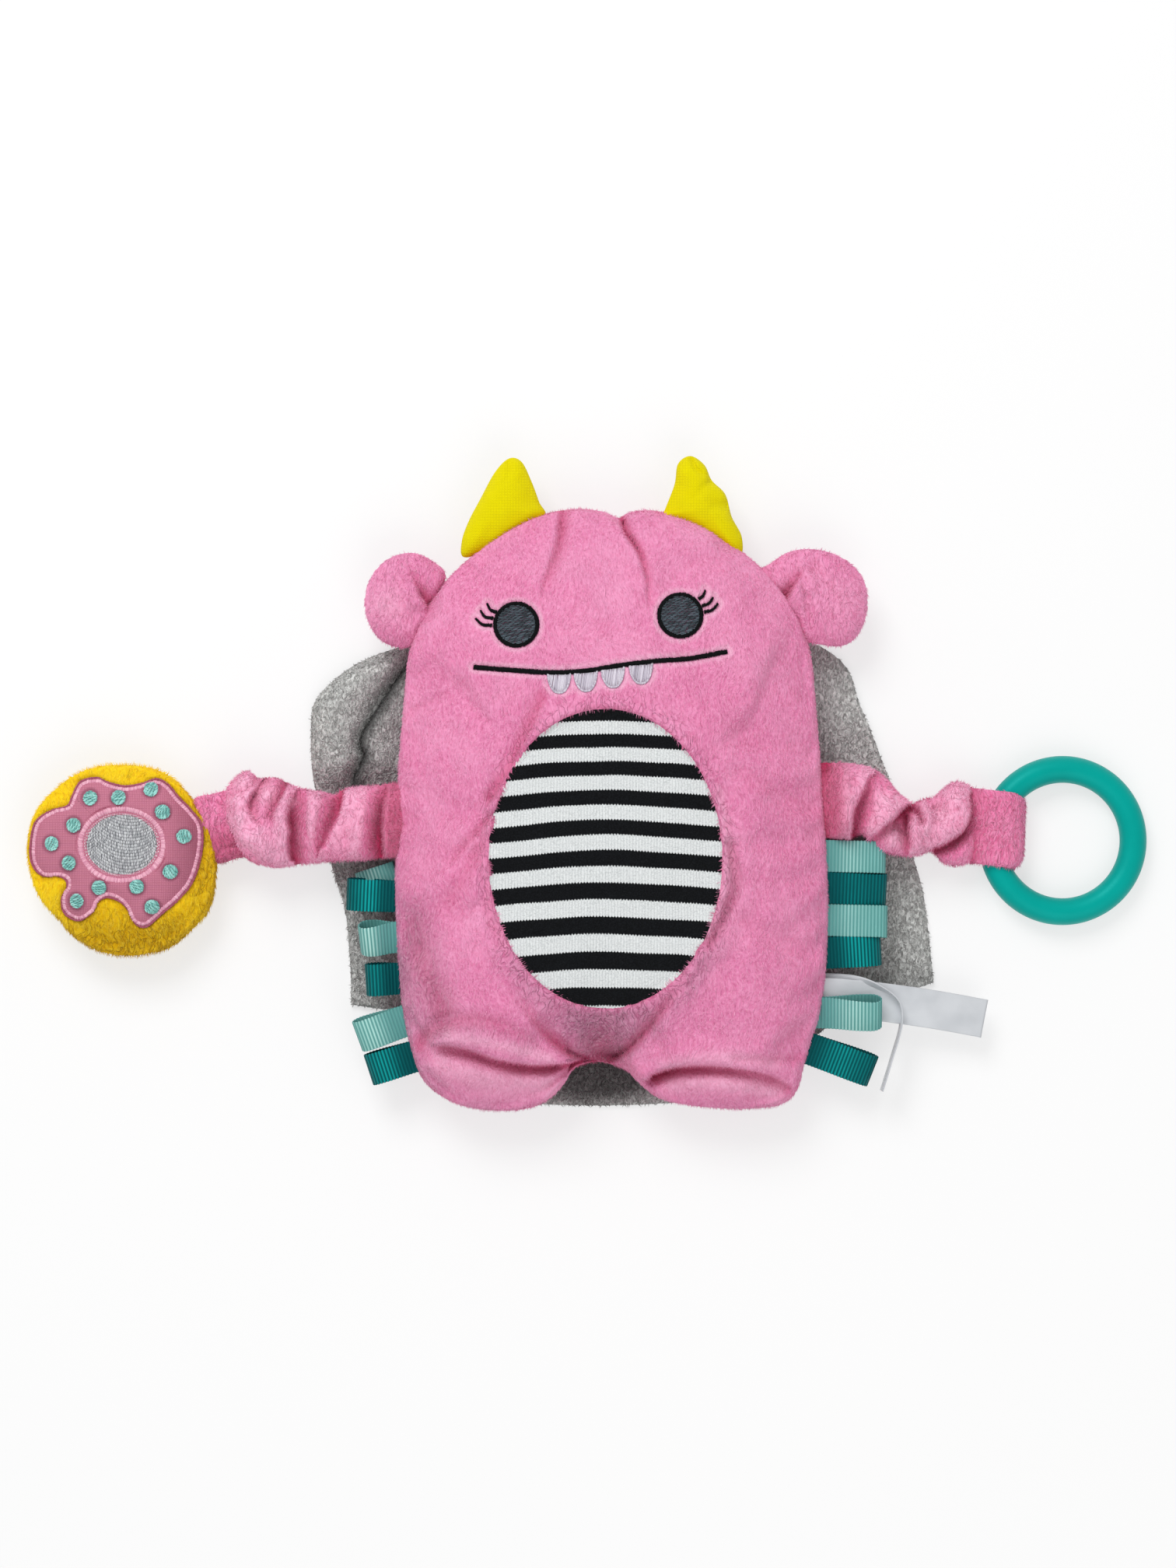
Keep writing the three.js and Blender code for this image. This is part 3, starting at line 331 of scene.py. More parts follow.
def markPiece(piece, name, values):
    attribute = piece.data.attributes.new(name, "FLOAT", "POINT")
    whole = np.zeros(len(piece.data.vertices), np.float32)
    whole[: values.size] = values.ravel()
    attribute.data.foreach_set("value", whole)


def ringFaces(rows, columns):
    r, i = np.meshgrid(np.arange(rows - 1), np.arange(columns), indexing="ij")
    j = (i + 1) % columns
    corners = [r * columns + i, (r + 1) * columns + i, (r + 1) * columns + j, r * columns + j]
    return np.stack(corners, -1).reshape(-1, 4).tolist()


def shellOf(name, rings, material):  # closed skin through rings of points
    rows, columns = rings.shape[:2]
    ends = np.stack([rings[0].mean(0), rings[-1].mean(0)])
    i = np.arange(columns)
    j, base, count = (i + 1) % columns, (rows - 1) * columns, rows * columns
    faces = ringFaces(rows, columns)
    faces += np.stack([np.full(columns, count), i, j], -1).tolist()
    faces += np.stack([base + i, np.full(columns, count + 1), base + j], -1).tolist()
    return makePiece(name, np.concatenate([rings.reshape(-1, 3), ends]), faces, material)


def slabOf(name, grid, thickness, material):  # sheet with thickness, closed round its edge
    normal = np.cross(np.gradient(grid, axis=0), np.gradient(grid, axis=1))
    normal /= np.maximum(lengths(normal), 1e-9)
    rows, columns = grid.shape[:2]
    k = np.arange(rows * columns).reshape(rows, columns)
    half = normal * (np.asarray(thickness)[..., None] if np.ndim(thickness) else thickness) / 2
    points = np.concatenate([(grid + half).reshape(-1, 3), (grid - half).reshape(-1, 3)])
    quads = np.stack([k[:-1, :-1], k[1:, :-1], k[1:, 1:], k[:-1, 1:]], -1).reshape(-1, 4)
    rim = np.concatenate([k[:-1, 0], k[-1, :-1], k[:0:-1, -1], k[0, :0:-1]])
    wall = np.stack([rim, np.roll(rim, -1), np.roll(rim, -1) + k.size, rim + k.size], -1)
    faces = quads.tolist() + (quads[:, ::-1] + k.size).tolist() + wall.tolist()
    return makePiece(name, points, faces, material)


def pillow(outline, centre, shape):  # rings from the front's middle over the seam to the back's
    crowd = 1.7  # rings lie closer together towards the seam
    front, back = [1 - (1 - np.linspace(0, 1, shape[key] + 1)[1:]) ** crowd
                   for key in ("frontRings", "backRings")]
    back = back[::-1][1:]
    share = np.concatenate([front, back])[:, None]
    isFront = np.arange(len(share))[:, None] < len(front)
    powers = np.where(isFront, shape["frontPower"], shape["backPower"])
    edges = np.where(isFront, shape["frontEdge"], shape["backEdge"])
    swell = np.maximum(1 - share ** powers, 0) ** edges
    z = shape["seamZ"] + np.where(isFront, shape["front"], -shape["back"]) * swell
    flat = np.asarray(centre) + share[..., None] * (outline - np.asarray(centre))
    rings = np.concatenate([flat, np.broadcast_to(z[..., None], flat.shape[:2] + (1,))], -1)
    return rings, np.broadcast_to(share, rings.shape[:2]), np.broadcast_to(isFront, rings.shape[:2])


def evenShape(seamZ, thickness, power, frontRings, backRings):  # as thick in front of the seam as behind it
    return dict(seamZ=seamZ, front=thickness, back=thickness, frontPower=power, backPower=power,
                frontEdge=0.6, backEdge=0.6, frontRings=frontRings, backRings=backRings)


def seamPins(share):  # 1 on the rings beside the seam
    return np.where(np.abs(share - 1) < 0.012, 1.0, 0.0)


def spreadField(coarse, rows, columns, shape):  # field on every few rings and columns, back to all of them
    across = np.concatenate([coarse, coarse[:, :1]], 1)
    span = np.append(columns, shape[1])
    wide = np.stack([[np.interp(np.arange(shape[1]), span, line[:, k]) for k in range(3)] for line in across])
    wide = wide.transpose(0, 2, 1)
    full = np.stack([[np.interp(np.arange(shape[0]), rows, wide[:, c, k]) for k in range(3)]
                     for c in range(shape[1])]).transpose(2, 0, 1)
    for _ in range(4):
        full = (2 * full + np.roll(full, 1, 1) + np.roll(full, -1, 1)) / 4
        full[1:-1] = (2 * full[1:-1] + full[:-2] + full[2:]) / 4
    return full


clothSteps = 20


def inflate(rings, pinned, cloth):  # stuffing presses the sewn skin out from its seams
    rows = np.unique(np.append(np.arange(0, len(rings), cloth["every"]), len(rings) - 1))
    columns = np.arange(0, rings.shape[1], cloth["every"])
    start = rings[rows][:, columns]
    trial = shellOf("cloth_trial", start, bpy.data.materials.new("trial"))
    seams = trial.vertex_groups.new(name="seams")
    for index, weight in enumerate(pinned[rows][:, columns].ravel()):
        seams.add([index], float(weight), "REPLACE")
    modifier = trial.modifiers.new("Cloth", "CLOTH")
    stiff = cloth["stiffness"]
    wanted = dict(quality=7, mass=0.15, tension_stiffness=stiff, compression_stiffness=stiff,
                  shear_stiffness=stiff / 3, bending_stiffness=cloth["bending"], use_pressure=True,
                  uniform_pressure_force=cloth["pressure"], shrink_min=-cloth["slack"],
                  vertex_group_mass="seams")
    for key, value in wanted.items():
        setattr(modifier.settings, key, value)
    modifier.settings.effector_weights.gravity = 0
    modifier.collision_settings.use_collision = False
    modifier.point_cache.frame_start, modifier.point_cache.frame_end = 1, clothSteps
    for step in range(1, clothSteps + 1):
        bpy.context.scene.frame_set(step)
    settled = trial.evaluated_get(bpy.context.evaluated_depsgraph_get()).data
    after = np.empty(len(settled.vertices) * 3)
    settled.vertices.foreach_get("co", after)
    moved = after.reshape(-1, 3)[: start.shape[0] * start.shape[1]].reshape(start.shape) / mm - start
    reach = lengths(moved)
    moved *= np.minimum(1, cloth["cap"] / np.maximum(reach, 1e-9))
    bpy.data.objects.remove(trial)
    bpy.context.scene.frame_set(1)
    print("  cloth settled, moved up to", round(float(np.minimum(reach, cloth["cap"]).max()), 1), "mm")
    return spreadField(moved, rows, columns, rings.shape[:2])


def surfaceOf(piece):
    return BVHTree.FromObject(piece, bpy.context.evaluated_depsgraph_get())


def heightsOn(surface, flat, missed=0.0):  # height of a piece under each point, seen from above
    down, heights = Vector((0, 0, -1)), []
    for x, y in np.reshape(flat, (-1, 2)) * mm:
        hit = surface.ray_cast(Vector((x, y, 0.2)), down)[0]
        heights.append(missed if hit is None else hit.z / mm)
    return np.reshape(heights, np.shape(flat)[:-1])


# Brushed pile: short strokes that swirl, in clumps
def pileGroup():
    group, given, out = newGroup(
        "brushed pile", "ShaderNodeTree",
        {"Vector": "Vector", "Stroke": 900.0, "Sweep": 0.006, "Clump": 170.0},
        {"Strokes": "Float", "Clumps": "Float", "Crimp": "Float", "Height": "Float"})
    place = given["Vector"]
    swirl = put(group, "ShaderNodeTexNoise", {"Vector": place, "Scale": 48.0, "Detail": 1.5})["Color"]
    pushed = scaled(group, vectors(group, "SUBTRACT", swirl, (0.5, 0.5, 0.5)), given["Sweep"])
    laid = vectors(group, "ADD", place, pushed)
    parts = []
    for stretch in ((1.0, 0.3, 0.6), (0.5, 0.9, 0.7)):
        drawn = vectors(group, "MULTIPLY", laid, stretch)
        parts.append(remap(group, noise(group, drawn, given["Stroke"], rough=0.6), 0.33, 0.67))
    strokes = plus(group, times(group, parts[0], 0.65), times(group, parts[1], 0.35))
    clumps = remap(group, noise(group, laid, given["Clump"]), 0.3, 0.7)
    drawn = vectors(group, "MULTIPLY", laid, (1.0, 0.45, 0.8))
    veins = calc(group, "ABSOLUTE", minus(group, noise(group, drawn, 460.0, 1.0, distort=0.6), 0.5))
    group.links.new(remap(group, veins, 0.0, 0.055, (1, 0)), out["Crimp"])
    group.links.new(strokes, out["Strokes"])
    group.links.new(clumps, out["Clumps"])
    group.links.new(plus(group, times(group, strokes, 0.7), times(group, clumps, 0.5)), out["Height"])
    return group


# Plain weave: threads that go over and under one another
def weaveGroup():
    group, given, out = newGroup(
        "plain weave", "ShaderNodeTree", {"Vector": "Vector", "Pitch": 0.0005},
        {"Height": "Float", "Wear": "Float"})
    sides = put(group, "ShaderNodeSeparateXYZ", {0: given["Vector"]})
    warp, weft = [calc(group, "SINE", times(group, calc(group, "DIVIDE", side, given["Pitch"]), math.pi))
                  for side in (sides[0], sides[1])]
    group.links.new(calc(group, "ABSOLUTE", times(group, warp, weft)), out["Height"])
    group.links.new(remap(group, noise(group, given["Vector"], 130.0, 3.0), 0.3, 0.7), out["Wear"])
    return group


# Spun thread: every stitch has its own shade, with a fine twist along it
def threadGroup():
    group, given, out = newGroup(
        "spun thread", "ShaderNodeTree", {"Vector": "Vector", "Shade": 0.5},
        {"Shade": "Float", "Height": "Float"})
    twist = noise(group, given["Vector"], 2600.0)
    group.links.new(plus(group, times(group, given["Shade"], 0.6), times(group, twist, 0.4)), out["Shade"])
    group.links.new(twist, out["Height"])
    return group


pileNodes, weaveNodes, threadNodes = pileGroup(), weaveGroup(), threadGroup()


def newMaterial(name, constants):
    material = bpy.data.materials.new(name)
    material.use_nodes = True
    tree = material.node_tree
    shader = tree.nodes["Principled BSDF"].inputs
    for socket, value in constants.items():
        shader[socket].default_value = value
    return material, tree, shader, put(tree, "ShaderNodeTexCoord")["Object"]


def useGroup(tree, group, inputs):
    return put(tree, "ShaderNodeGroup", inputs, node_tree=group)


def readMark(tree, name):
    return put(tree, "ShaderNodeAttribute", attribute_name=name)["Fac"]


def marked(tree, colour, mark, amount, other, way="MIX"):  # another colour where the piece is marked
    return mix(tree, times(tree, readMark(tree, mark), amount), colour, other, way)


def dress(tree, shader, colour, roughness, height, bump):
    tree.links.new(colour, shader["Base Color"])
    tree.links.new(roughness, shader["Roughness"])
    normal = put(tree, "ShaderNodeBump", {"Height": height, "Distance": bump * mm, "Strength": 1.0})[0]
    tree.links.new(normal, shader["Normal"])


def plush(name, look):
    constants = {"Sheen Weight": look["sheen"], "Sheen Roughness": 0.45, "Sheen Tint": look["sheenTint"],
                 "Specular IOR Level": 0.15}
    material, tree, shader, place = newMaterial(name, constants)
    pile = useGroup(tree, pileNodes, {"Vector": place, "Stroke": look["stroke"], "Sweep": look["sweep"]})
    colour = mix(tree, pile["Strokes"], look["deep"], look["tip"])
    colour = mix(tree, remap(tree, readMark(tree, "strand"), 0.3, 1.0), colour, look["strand"])
    patch = noise(tree, place, 38.0)
    colour = mix(tree, remap(tree, patch, 0.42, 0.75, (0, 0.55)), colour, look["brushed"])
    crimp = times(tree, pile["Crimp"], readMark(tree, "crimp"))
    # painted highlight, and the paler pressed pile round the embroidery
    colour = marked(tree, colour, "pressed", 0.75, look["pressed"])
    colour = mix(tree, crimp, colour, look["crimp"])
    # painted shade in folds, creases and hollows
    colour = marked(tree, colour, "paintedShade", 0.95, look["shade"])
    # painted shade where the pile points away from the light, with paler wisps of pile in it
    colour = marked(tree, colour, "nap", 0.85, look["nap"], "MULTIPLY")
    wisps = times(tree, readMark(tree, "nap"), remap(tree, pile["Strokes"], 0.5, 0.95, (0, 0.55)))
    colour = mix(tree, wisps, colour, look["napTip"])
    height = minus(tree, pile["Height"], crimp)
    dress(tree, shader, colour, remap(tree, pile["Clumps"], 0, 1, (0.82, 0.98)), height, look["bump"])
    return material


def fleece(name, look):  # curly bobbles with dark gaps between them
    material, tree, shader, place = newMaterial(
        name, {"Sheen Weight": 0.12, "Sheen Roughness": 0.5, "Specular IOR Level": 0.1})
    pile = useGroup(tree, pileNodes, {"Vector": place, "Stroke": 1500.0, "Sweep": 0.004, "Clump": 320.0})
    drawn = vectors(tree, "MULTIPLY", place, (1.0, 0.6, 1.0))
    curls = noise(tree, drawn, 1 / (look["bobble"] * mm), rough=0.55, distort=1.0)
    curls = remap(tree, curls, 0.36, 0.62)
    colour = mix(tree, curls, look["deep"], look["tip"])
    colour = mix(tree, times(tree, pile["Clumps"], 0.45), colour, look["worn"])
    colour = marked(tree, colour, "paintedShade", 0.9, look["shade"])
    height = plus(tree, curls, times(tree, pile["Strokes"], 0.35))
    dress(tree, shader, colour, remap(tree, pile["Clumps"], 0, 1, (0.85, 0.98)), height, look["bump"])
    return material


def thread(name, dark, light, gloss=0.38, shine=0.5):
    material, tree, shader, place = newMaterial(
        name, {"Specular IOR Level": shine, "Sheen Weight": 0.3 * shine, "Sheen Roughness": 0.3})
    spun = useGroup(tree, threadNodes, {"Vector": place, "Shade": readMark(tree, "shade")})
    dress(tree, shader, mix(tree, spun["Shade"], dark, light),
          remap(tree, spun["Height"], 0.2, 0.8, (gloss, gloss + 0.25)), spun["Height"], 0.08)
    return material


def woven(name, look):
    material, tree, shader, place = newMaterial(
        name, {"Specular IOR Level": 0.06, "Sheen Weight": 0.03, "Sheen Roughness": 0.5})
    weave = useGroup(tree, weaveNodes, {"Vector": place, "Pitch": look["pitch"] * mm})
    colour = mix(tree, weave["Height"], look["deep"], look["tip"])
    colour = mix(tree, times(tree, weave["Wear"], 0.35), colour, look["worn"])
    colour = marked(tree, colour, "paintedShade", 0.6, look["shade"])
    dress(tree, shader, colour, remap(tree, weave["Wear"], 0, 1, (0.6, 0.85)), weave["Height"], look["bump"])
    return material


def grosgrain(name, dark, light, bright, gleam):
    material, tree, shader, place = newMaterial(name, {"Specular IOR Level": 0.5, "Specular Tint": gleam})
    rib = calc(tree, "POWER", readMark(tree, "rib"), 1.4)
    weave = useGroup(tree, weaveNodes, {"Vector": place, "Pitch": 0.35 * mm})
    # painted shade between the ribs, painted highlight where marked lit, painted shade where marked shaded
    colour = mix(tree, rib, dark, light)
    colour = mix(tree, times(tree, readMark(tree, "lit"), rib), colour, bright)
    colour = mix(tree, times(tree, weave["Wear"], 0.2), colour, dark)
    colour = mix(tree, readMark(tree, "shaded"), colour, dark)
    dress(tree, shader, colour, remap(tree, rib, 0, 1, (0.62, 0.4)), weave["Height"], 0.05)
    return material


def stripedKnit(look):
    material, tree, shader, place = newMaterial(
        "striped rib knit", {"Specular IOR Level": 0.08, "Sheen Weight": 0.05, "Sheen Roughness": 0.5})
    x, y, _ = put(tree, "ShaderNodeSeparateXYZ", {0: place})
    wave = noise(tree, place, 26.0, 1.0)
    rib = calc(tree, "COSINE", times(tree, x, 2 * math.pi / (look["rib"] * mm)))
    fuzz = noise(tree, place, 1900.0)
    shift = times(tree, minus(tree, wave, 0.5), look["wander"])
    shift = plus(tree, shift, times(tree, rib, 0.24))
    shift = plus(tree, shift, times(tree, minus(tree, fuzz, 0.5), 0.7))
    bow = calc(tree, "POWER", calc(tree, "ABSOLUTE", calc(tree, "DIVIDE", x, look["bowAt"] * mm)), 2.0)
    shift = plus(tree, shift, times(tree, bow, look["bow"]))
    below = minus(tree, look["top"], plus(tree, calc(tree, "DIVIDE", y, mm), shift))
    # the knit is stretched a little more with each stripe down
    slope, growth = look["period"] / (2 * look["growth"]), 1 / look["growth"]
    root = calc(tree, "SQRT", plus(tree, times(tree, below, growth), slope * slope))
    share = calc(tree, "FRACT", plus(tree, minus(tree, root, slope), 8.0))
    half, blur = look["dark"] / 2, 0.012
    white = remap(tree, calc(tree, "ABSOLUTE", minus(tree, share, half)), half - blur, half + blur)
    # painted shade in the furrows between the ribs
    furrowShade = remap(tree, rib, -1, 0.2, (0.6, 1.0))
    pale = mix(tree, furrowShade, look["whiteDeep"], look["white"])
    pale = mix(tree, remap(tree, fuzz, 0.42, 0.72, (0, 0.75)), pale, look["whiteDeep"])
    black = mix(tree, remap(tree, fuzz, 0.4, 0.75), look["black"], look["blackTip"])
    dress(tree, shader, mix(tree, white, black, pale), remap(tree, fuzz, 0.3, 0.7, (0.78, 0.95)), fuzz, 0.16)
    return material


def smoothPlastic(name, colour, shade):
    material, tree, shader, place = newMaterial(
        name, {"Specular IOR Level": 0.35, "Specular Tint": (0.15, 1.0, 0.95, 1.0)})
    cloud = noise(tree, place, 45.0, 3.0)
    grain = noise(tree, place, 1500.0)
    dress(tree, shader, mix(tree, remap(tree, cloud, 0.35, 0.7, (0, 0.5)), colour, shade),
          remap(tree, grain, 0.3, 0.7, (0.34, 0.46)), grain, 0.02)
    return material


def satin(name, colour, shade):
    material, tree, shader, place = newMaterial(name, {"Specular IOR Level": 0.55, "Sheen Weight": 0.2})
    drawn = vectors(tree, "MULTIPLY", place, (300.0, 3000.0, 600.0))
    lines = noise(tree, drawn, 1.0)
    cloud = noise(tree, place, 90.0)
    dress(tree, shader, mix(tree, remap(tree, cloud, 0.3, 0.7, (0, 0.6)), colour, shade),
          remap(tree, lines, 0.3, 0.7, (0.3, 0.5)), lines, 0.04)
    return material


def fibrous(name, colour, shade, size, bump):  # filling, grain and tape, which the skin hides
    material, tree, shader, place = newMaterial(name, {"Specular IOR Level": 0.25})
    bits = put(tree, "ShaderNodeTexVoronoi", {"Vector": place, "Scale": 1 / (size * mm)})[0]
    fine = noise(tree, place, 3 / (size * mm), 3.0)
    dress(tree, shader, mix(tree, times(tree, bits, fine), colour, shade),
          remap(tree, fine, 0.3, 0.7, (0.7, 0.95)), bits, bump)
    return material


pinkPlush = plush("pink plush", dict(
    deep=tint(218, 116, 162), tip=tint(243, 157, 198), brushed=tint(245, 170, 206),
    pressed=tint(252, 204, 225), strand=tint(252, 186, 217), crimp=tint(202, 92, 140),
    shade=tint(192, 44, 94), nap=tint(188, 214, 202), napTip=tint(226, 176, 196), sheen=0.26,
    sheenTint=(1.0, 0.8, 0.9, 1.0), stroke=1300.0, sweep=0.012, bump=0.5))
sleevePlush = plush("pink sleeve plush", dict(
    deep=tint(238, 120, 170), tip=tint(253, 162, 204), brushed=tint(254, 176, 212),
    pressed=tint(255, 210, 231), strand=tint(255, 192, 222), crimp=tint(216, 92, 142),
    shade=tint(180, 32, 80), nap=tint(182, 196, 186), napTip=tint(226, 172, 194), sheen=0.26,
    sheenTint=(1.0, 0.8, 0.9, 1.0), stroke=1300.0, sweep=0.012, bump=0.6))
yellowPlush = plush("yellow plush", dict(
    deep=tint(244, 192, 8), tip=tint(254, 220, 30), brushed=tint(254, 226, 46), pressed=tint(254, 232, 110),
    strand=tint(255, 232, 80), crimp=tint(206, 146, 4), shade=tint(168, 106, 4), nap=tint(190, 172, 130),
    napTip=tint(246, 206, 70), sheen=0.06, sheenTint=(1.0, 0.9, 0.5, 1.0), stroke=900.0, sweep=0.014,
    bump=0.7))
greyFleece = fleece("grey fleece", dict(
    deep=tint(134, 133, 131), tip=tint(216, 217, 214), worn=tint(194, 195, 193), shade=tint(26, 23, 22),
    bobble=1.2, bump=0.45))
hornCloth = woven("yellow horn cloth", dict(
    deep=tint(212, 196, 0), tip=tint(244, 232, 0), worn=tint(240, 229, 4), shade=tint(212, 196, 0),
    pitch=0.62, bump=0.14))
icingCloth = woven("icing cloth", dict(
    deep=tint(180, 100, 125), tip=tint(222, 146, 168), worn=tint(206, 130, 152), shade=tint(120, 60, 80),
    pitch=0.7, bump=0.2))
bellyKnit = stripedKnit(dict(
    rib=1.2, wander=2.4, top=40.4, period=10, growth=0.25, dark=0.505, bow=1.8, bowAt=36,
    white=tint(228, 231, 231), whiteDeep=tint(180, 184, 185), black=tint(7, 8, 10),
    blackTip=tint(26, 28, 31)))
blackThread = thread("black thread", tint(3, 4, 5), tint(13, 14, 17), 0.62, 0.1)
eyeThread = thread("eye thread", tint(0, 0, 1), tint(94, 108, 118), 0.5, 0.25)
toothThread = thread("tooth thread", tint(158, 148, 166), tint(236, 230, 240), 0.32)
pinkThread = thread("pink thread", tint(198, 108, 144), tint(255, 206, 222), 0.3)
# dark stitches that stand for painted shadow round the raised icing borders
paintedShadowThread = thread("painted shadow thread", tint(150, 66, 92), tint(186, 96, 124))
mintThread = thread("mint thread", tint(56, 142, 136), tint(186, 246, 238), 0.3)
middleThread = thread("grey thread", tint(148, 150, 156), tint(252, 253, 255), 0.4)
middleCloth = woven("grey middle cloth", dict(
    deep=tint(92, 94, 98), tip=tint(126, 128, 133), worn=tint(112, 114, 119), shade=tint(92, 94, 98),
    pitch=0.5, bump=0.1))
paleRibbon = grosgrain("pale ribbon", tint(84, 148, 144), tint(126, 190, 184), tint(204, 250, 240),
                       (0.7, 1.0, 0.95, 1.0))
deepRibbon = grosgrain("deep ribbon", tint(0, 56, 60), tint(0, 100, 102), tint(20, 176, 174),
                       (0.1, 0.9, 0.9, 1.0))
ringPlastic = smoothPlastic("ring plastic", tint(0, 152, 143), tint(0, 168, 158))
tagSatin = satin("tag satin", tint(206, 209, 213), tint(178, 182, 187))
cotton = fibrous("pouch cotton", tint(226, 216, 196), tint(196, 184, 160), 0.6, 0.1)
grain = fibrous("grain", tint(196, 150, 92), tint(120, 80, 40), 4.0, 1.2)
hookTape = fibrous("hook tape", tint(226, 226, 226), tint(170, 170, 172), 1.1, 0.5)
loopTape = fibrous("loop tape", tint(232, 232, 230), tint(190, 190, 190), 0.7, 0.4)
elasticWeb = grosgrain("elastic web", tint(196, 196, 194), tint(238, 238, 236), tint(244, 244, 242),
                       (1.0, 1.0, 1.0, 1.0))
print("materials mixed")


ground = dict(reach=3000, z=-0.2, tone=0.9, paleTone=0.93, glow=0.6)


def layFloor():
    material, tree, shader, place = newMaterial("pale floor", {"Specular IOR Level": 0.1})
    cloud = noise(tree, place, 3.0)
    tones = [(tone, tone, tone, 1) for tone in (ground["tone"], ground["paleTone"])]
    colour = mix(tree, cloud, *tones)
    tree.links.new(colour, shader["Base Color"])
    shader["Roughness"].default_value = 0.9
    glow = put(tree, "ShaderNodeEmission", {"Strength": 1.0})[0]
    plain = tree.nodes["Principled BSDF"].outputs[0]
    seen = times(tree, seenRays(tree), ground["glow"])
    paler = put(tree, "ShaderNodeMixShader", {0: seen, 1: plain, 2: glow})[0]
    tree.links.new(paler, tree.nodes["Material Output"].inputs[0])
    reach, z = ground["reach"], ground["z"]
    corners = [(-reach, -reach, z), (reach, -reach, z), (reach, reach, z), (-reach, reach, z)]
    makePiece("floor", corners, [(0, 1, 2, 3)], material)


layFloor()


# Geometry Nodes: stitched threads, ribbed ribbon and pile

def newTree(name, inputs):  # takes a mesh and a material besides its own inputs
    sockets = {"Geometry": "Geometry", **inputs, "Material": "Material"}
    return newGroup(name, "GeometryNodeTree", sockets, {"Geometry": "Geometry"})


def readField(group, name, kind="FLOAT"):
    return put(group, "GeometryNodeInputNamedAttribute", {"Name": name}, data_type=kind)[0]


def storeField(group, geometry, name, value, domain):
    return put(group, "GeometryNodeStoreNamedAttribute", {"Geometry": geometry, "Name": name, "Value": value},
               data_type="FLOAT", domain=domain)[0]


def closeTree(group, given, out, geometry):
    whole = put(group, "GeometryNodeRealizeInstances", {"Geometry": geometry})[0]
    final = put(group, "GeometryNodeSetMaterial", {"Geometry": whole, "Material": given["Material"]})[0]
    group.links.new(final, out["Geometry"])
    return group


def threadTree():
    group, given, out = newTree("stitched threads", {"Thickness": 0.0005, "Sides": 5, "Seed": 3})
    curves = put(group, "GeometryNodeMeshToCurve", {"Mesh": given["Geometry"]})[0]
    shade = put(group, "FunctionNodeRandomValue", {"Seed": given["Seed"]}, data_type="FLOAT")[1]
    curves = storeField(group, curves, "shade", shade, "CURVE")
    way = put(group, "GeometryNodeSplineParameter")["Factor"]
    lean = calc(group, "ABSOLUTE", minus(group, times(group, way, 2.0), 1.0))
    taper = minus(group, 1.0, times(group, calc(group, "POWER", lean, 4.0), 0.45))
    radius = times(group, given["Thickness"], 0.5)
    profile = put(group, "GeometryNodeCurvePrimitiveCircle",
                  {"Resolution": given["Sides"], "Radius": radius})["Curve"]
    tubes = put(group, "GeometryNodeCurveToMesh",
                {"Curve": curves, "Profile Curve": profile, "Scale": taper, "Fill Caps": True})[0]
    smooth = put(group, "GeometryNodeSetShadeSmooth", {"Geometry": tubes})[0]
    return closeTree(group, given, out, smooth)


def ribbonTree():
    group, given, out = newTree(
        "ribbed ribbon", {"Width": 0.0116, "Thickness": 0.0007, "Rib Pitch": 0.0009, "Rib Depth": 0.0002})
    curves = put(group, "GeometryNodeMeshToCurve", {"Mesh": given["Geometry"]})[0]
    curves = put(group, "GeometryNodeResampleCurve",
                 {"Curve": curves, "Length": calc(group, "DIVIDE", given["Rib Pitch"], 6.0)},
                 mode="LENGTH")[0]
    across = readField(group, "across", "FLOAT_VECTOR")
    curves = put(group, "GeometryNodeSetCurveNormal", {"Curve": curves, "Normal": across}, mode="FREE")[0]
    length = put(group, "GeometryNodeSplineParameter")["Length"]
    turn = times(group, calc(group, "DIVIDE", length, given["Rib Pitch"]), 2 * math.pi)
    rib = plus(group, times(group, calc(group, "SINE", turn), 0.5), 0.5)
    curves = storeField(group, curves, "rib", rib, "POINT")
    profile = put(group, "GeometryNodeCurvePrimitiveQuadrilateral",
                  {"Width": given["Width"], "Height": given["Thickness"]})[0]
    profile = put(group, "GeometryNodeFilletCurve",
                  {"Curve": profile, "Count": 2, "Radius": times(group, given["Thickness"], 0.45)},
                  mode="POLY")[0]
    band = put(group, "GeometryNodeCurveToMesh",
               {"Curve": curves, "Profile Curve": profile, "Scale": 1.0, "Fill Caps": True})[0]
    lift = times(group, minus(group, readField(group, "rib"), 0.5), given["Rib Depth"])
    normal = put(group, "GeometryNodeInputNormal")[0]
    offset = scaled(group, normal, lift)
    band = put(group, "GeometryNodeSetPosition", {"Geometry": band, "Offset": offset})[0]
    smooth = put(group, "GeometryNodeSetShadeSmooth", {"Geometry": band})[0]
    return closeTree(group, given, out, smooth)


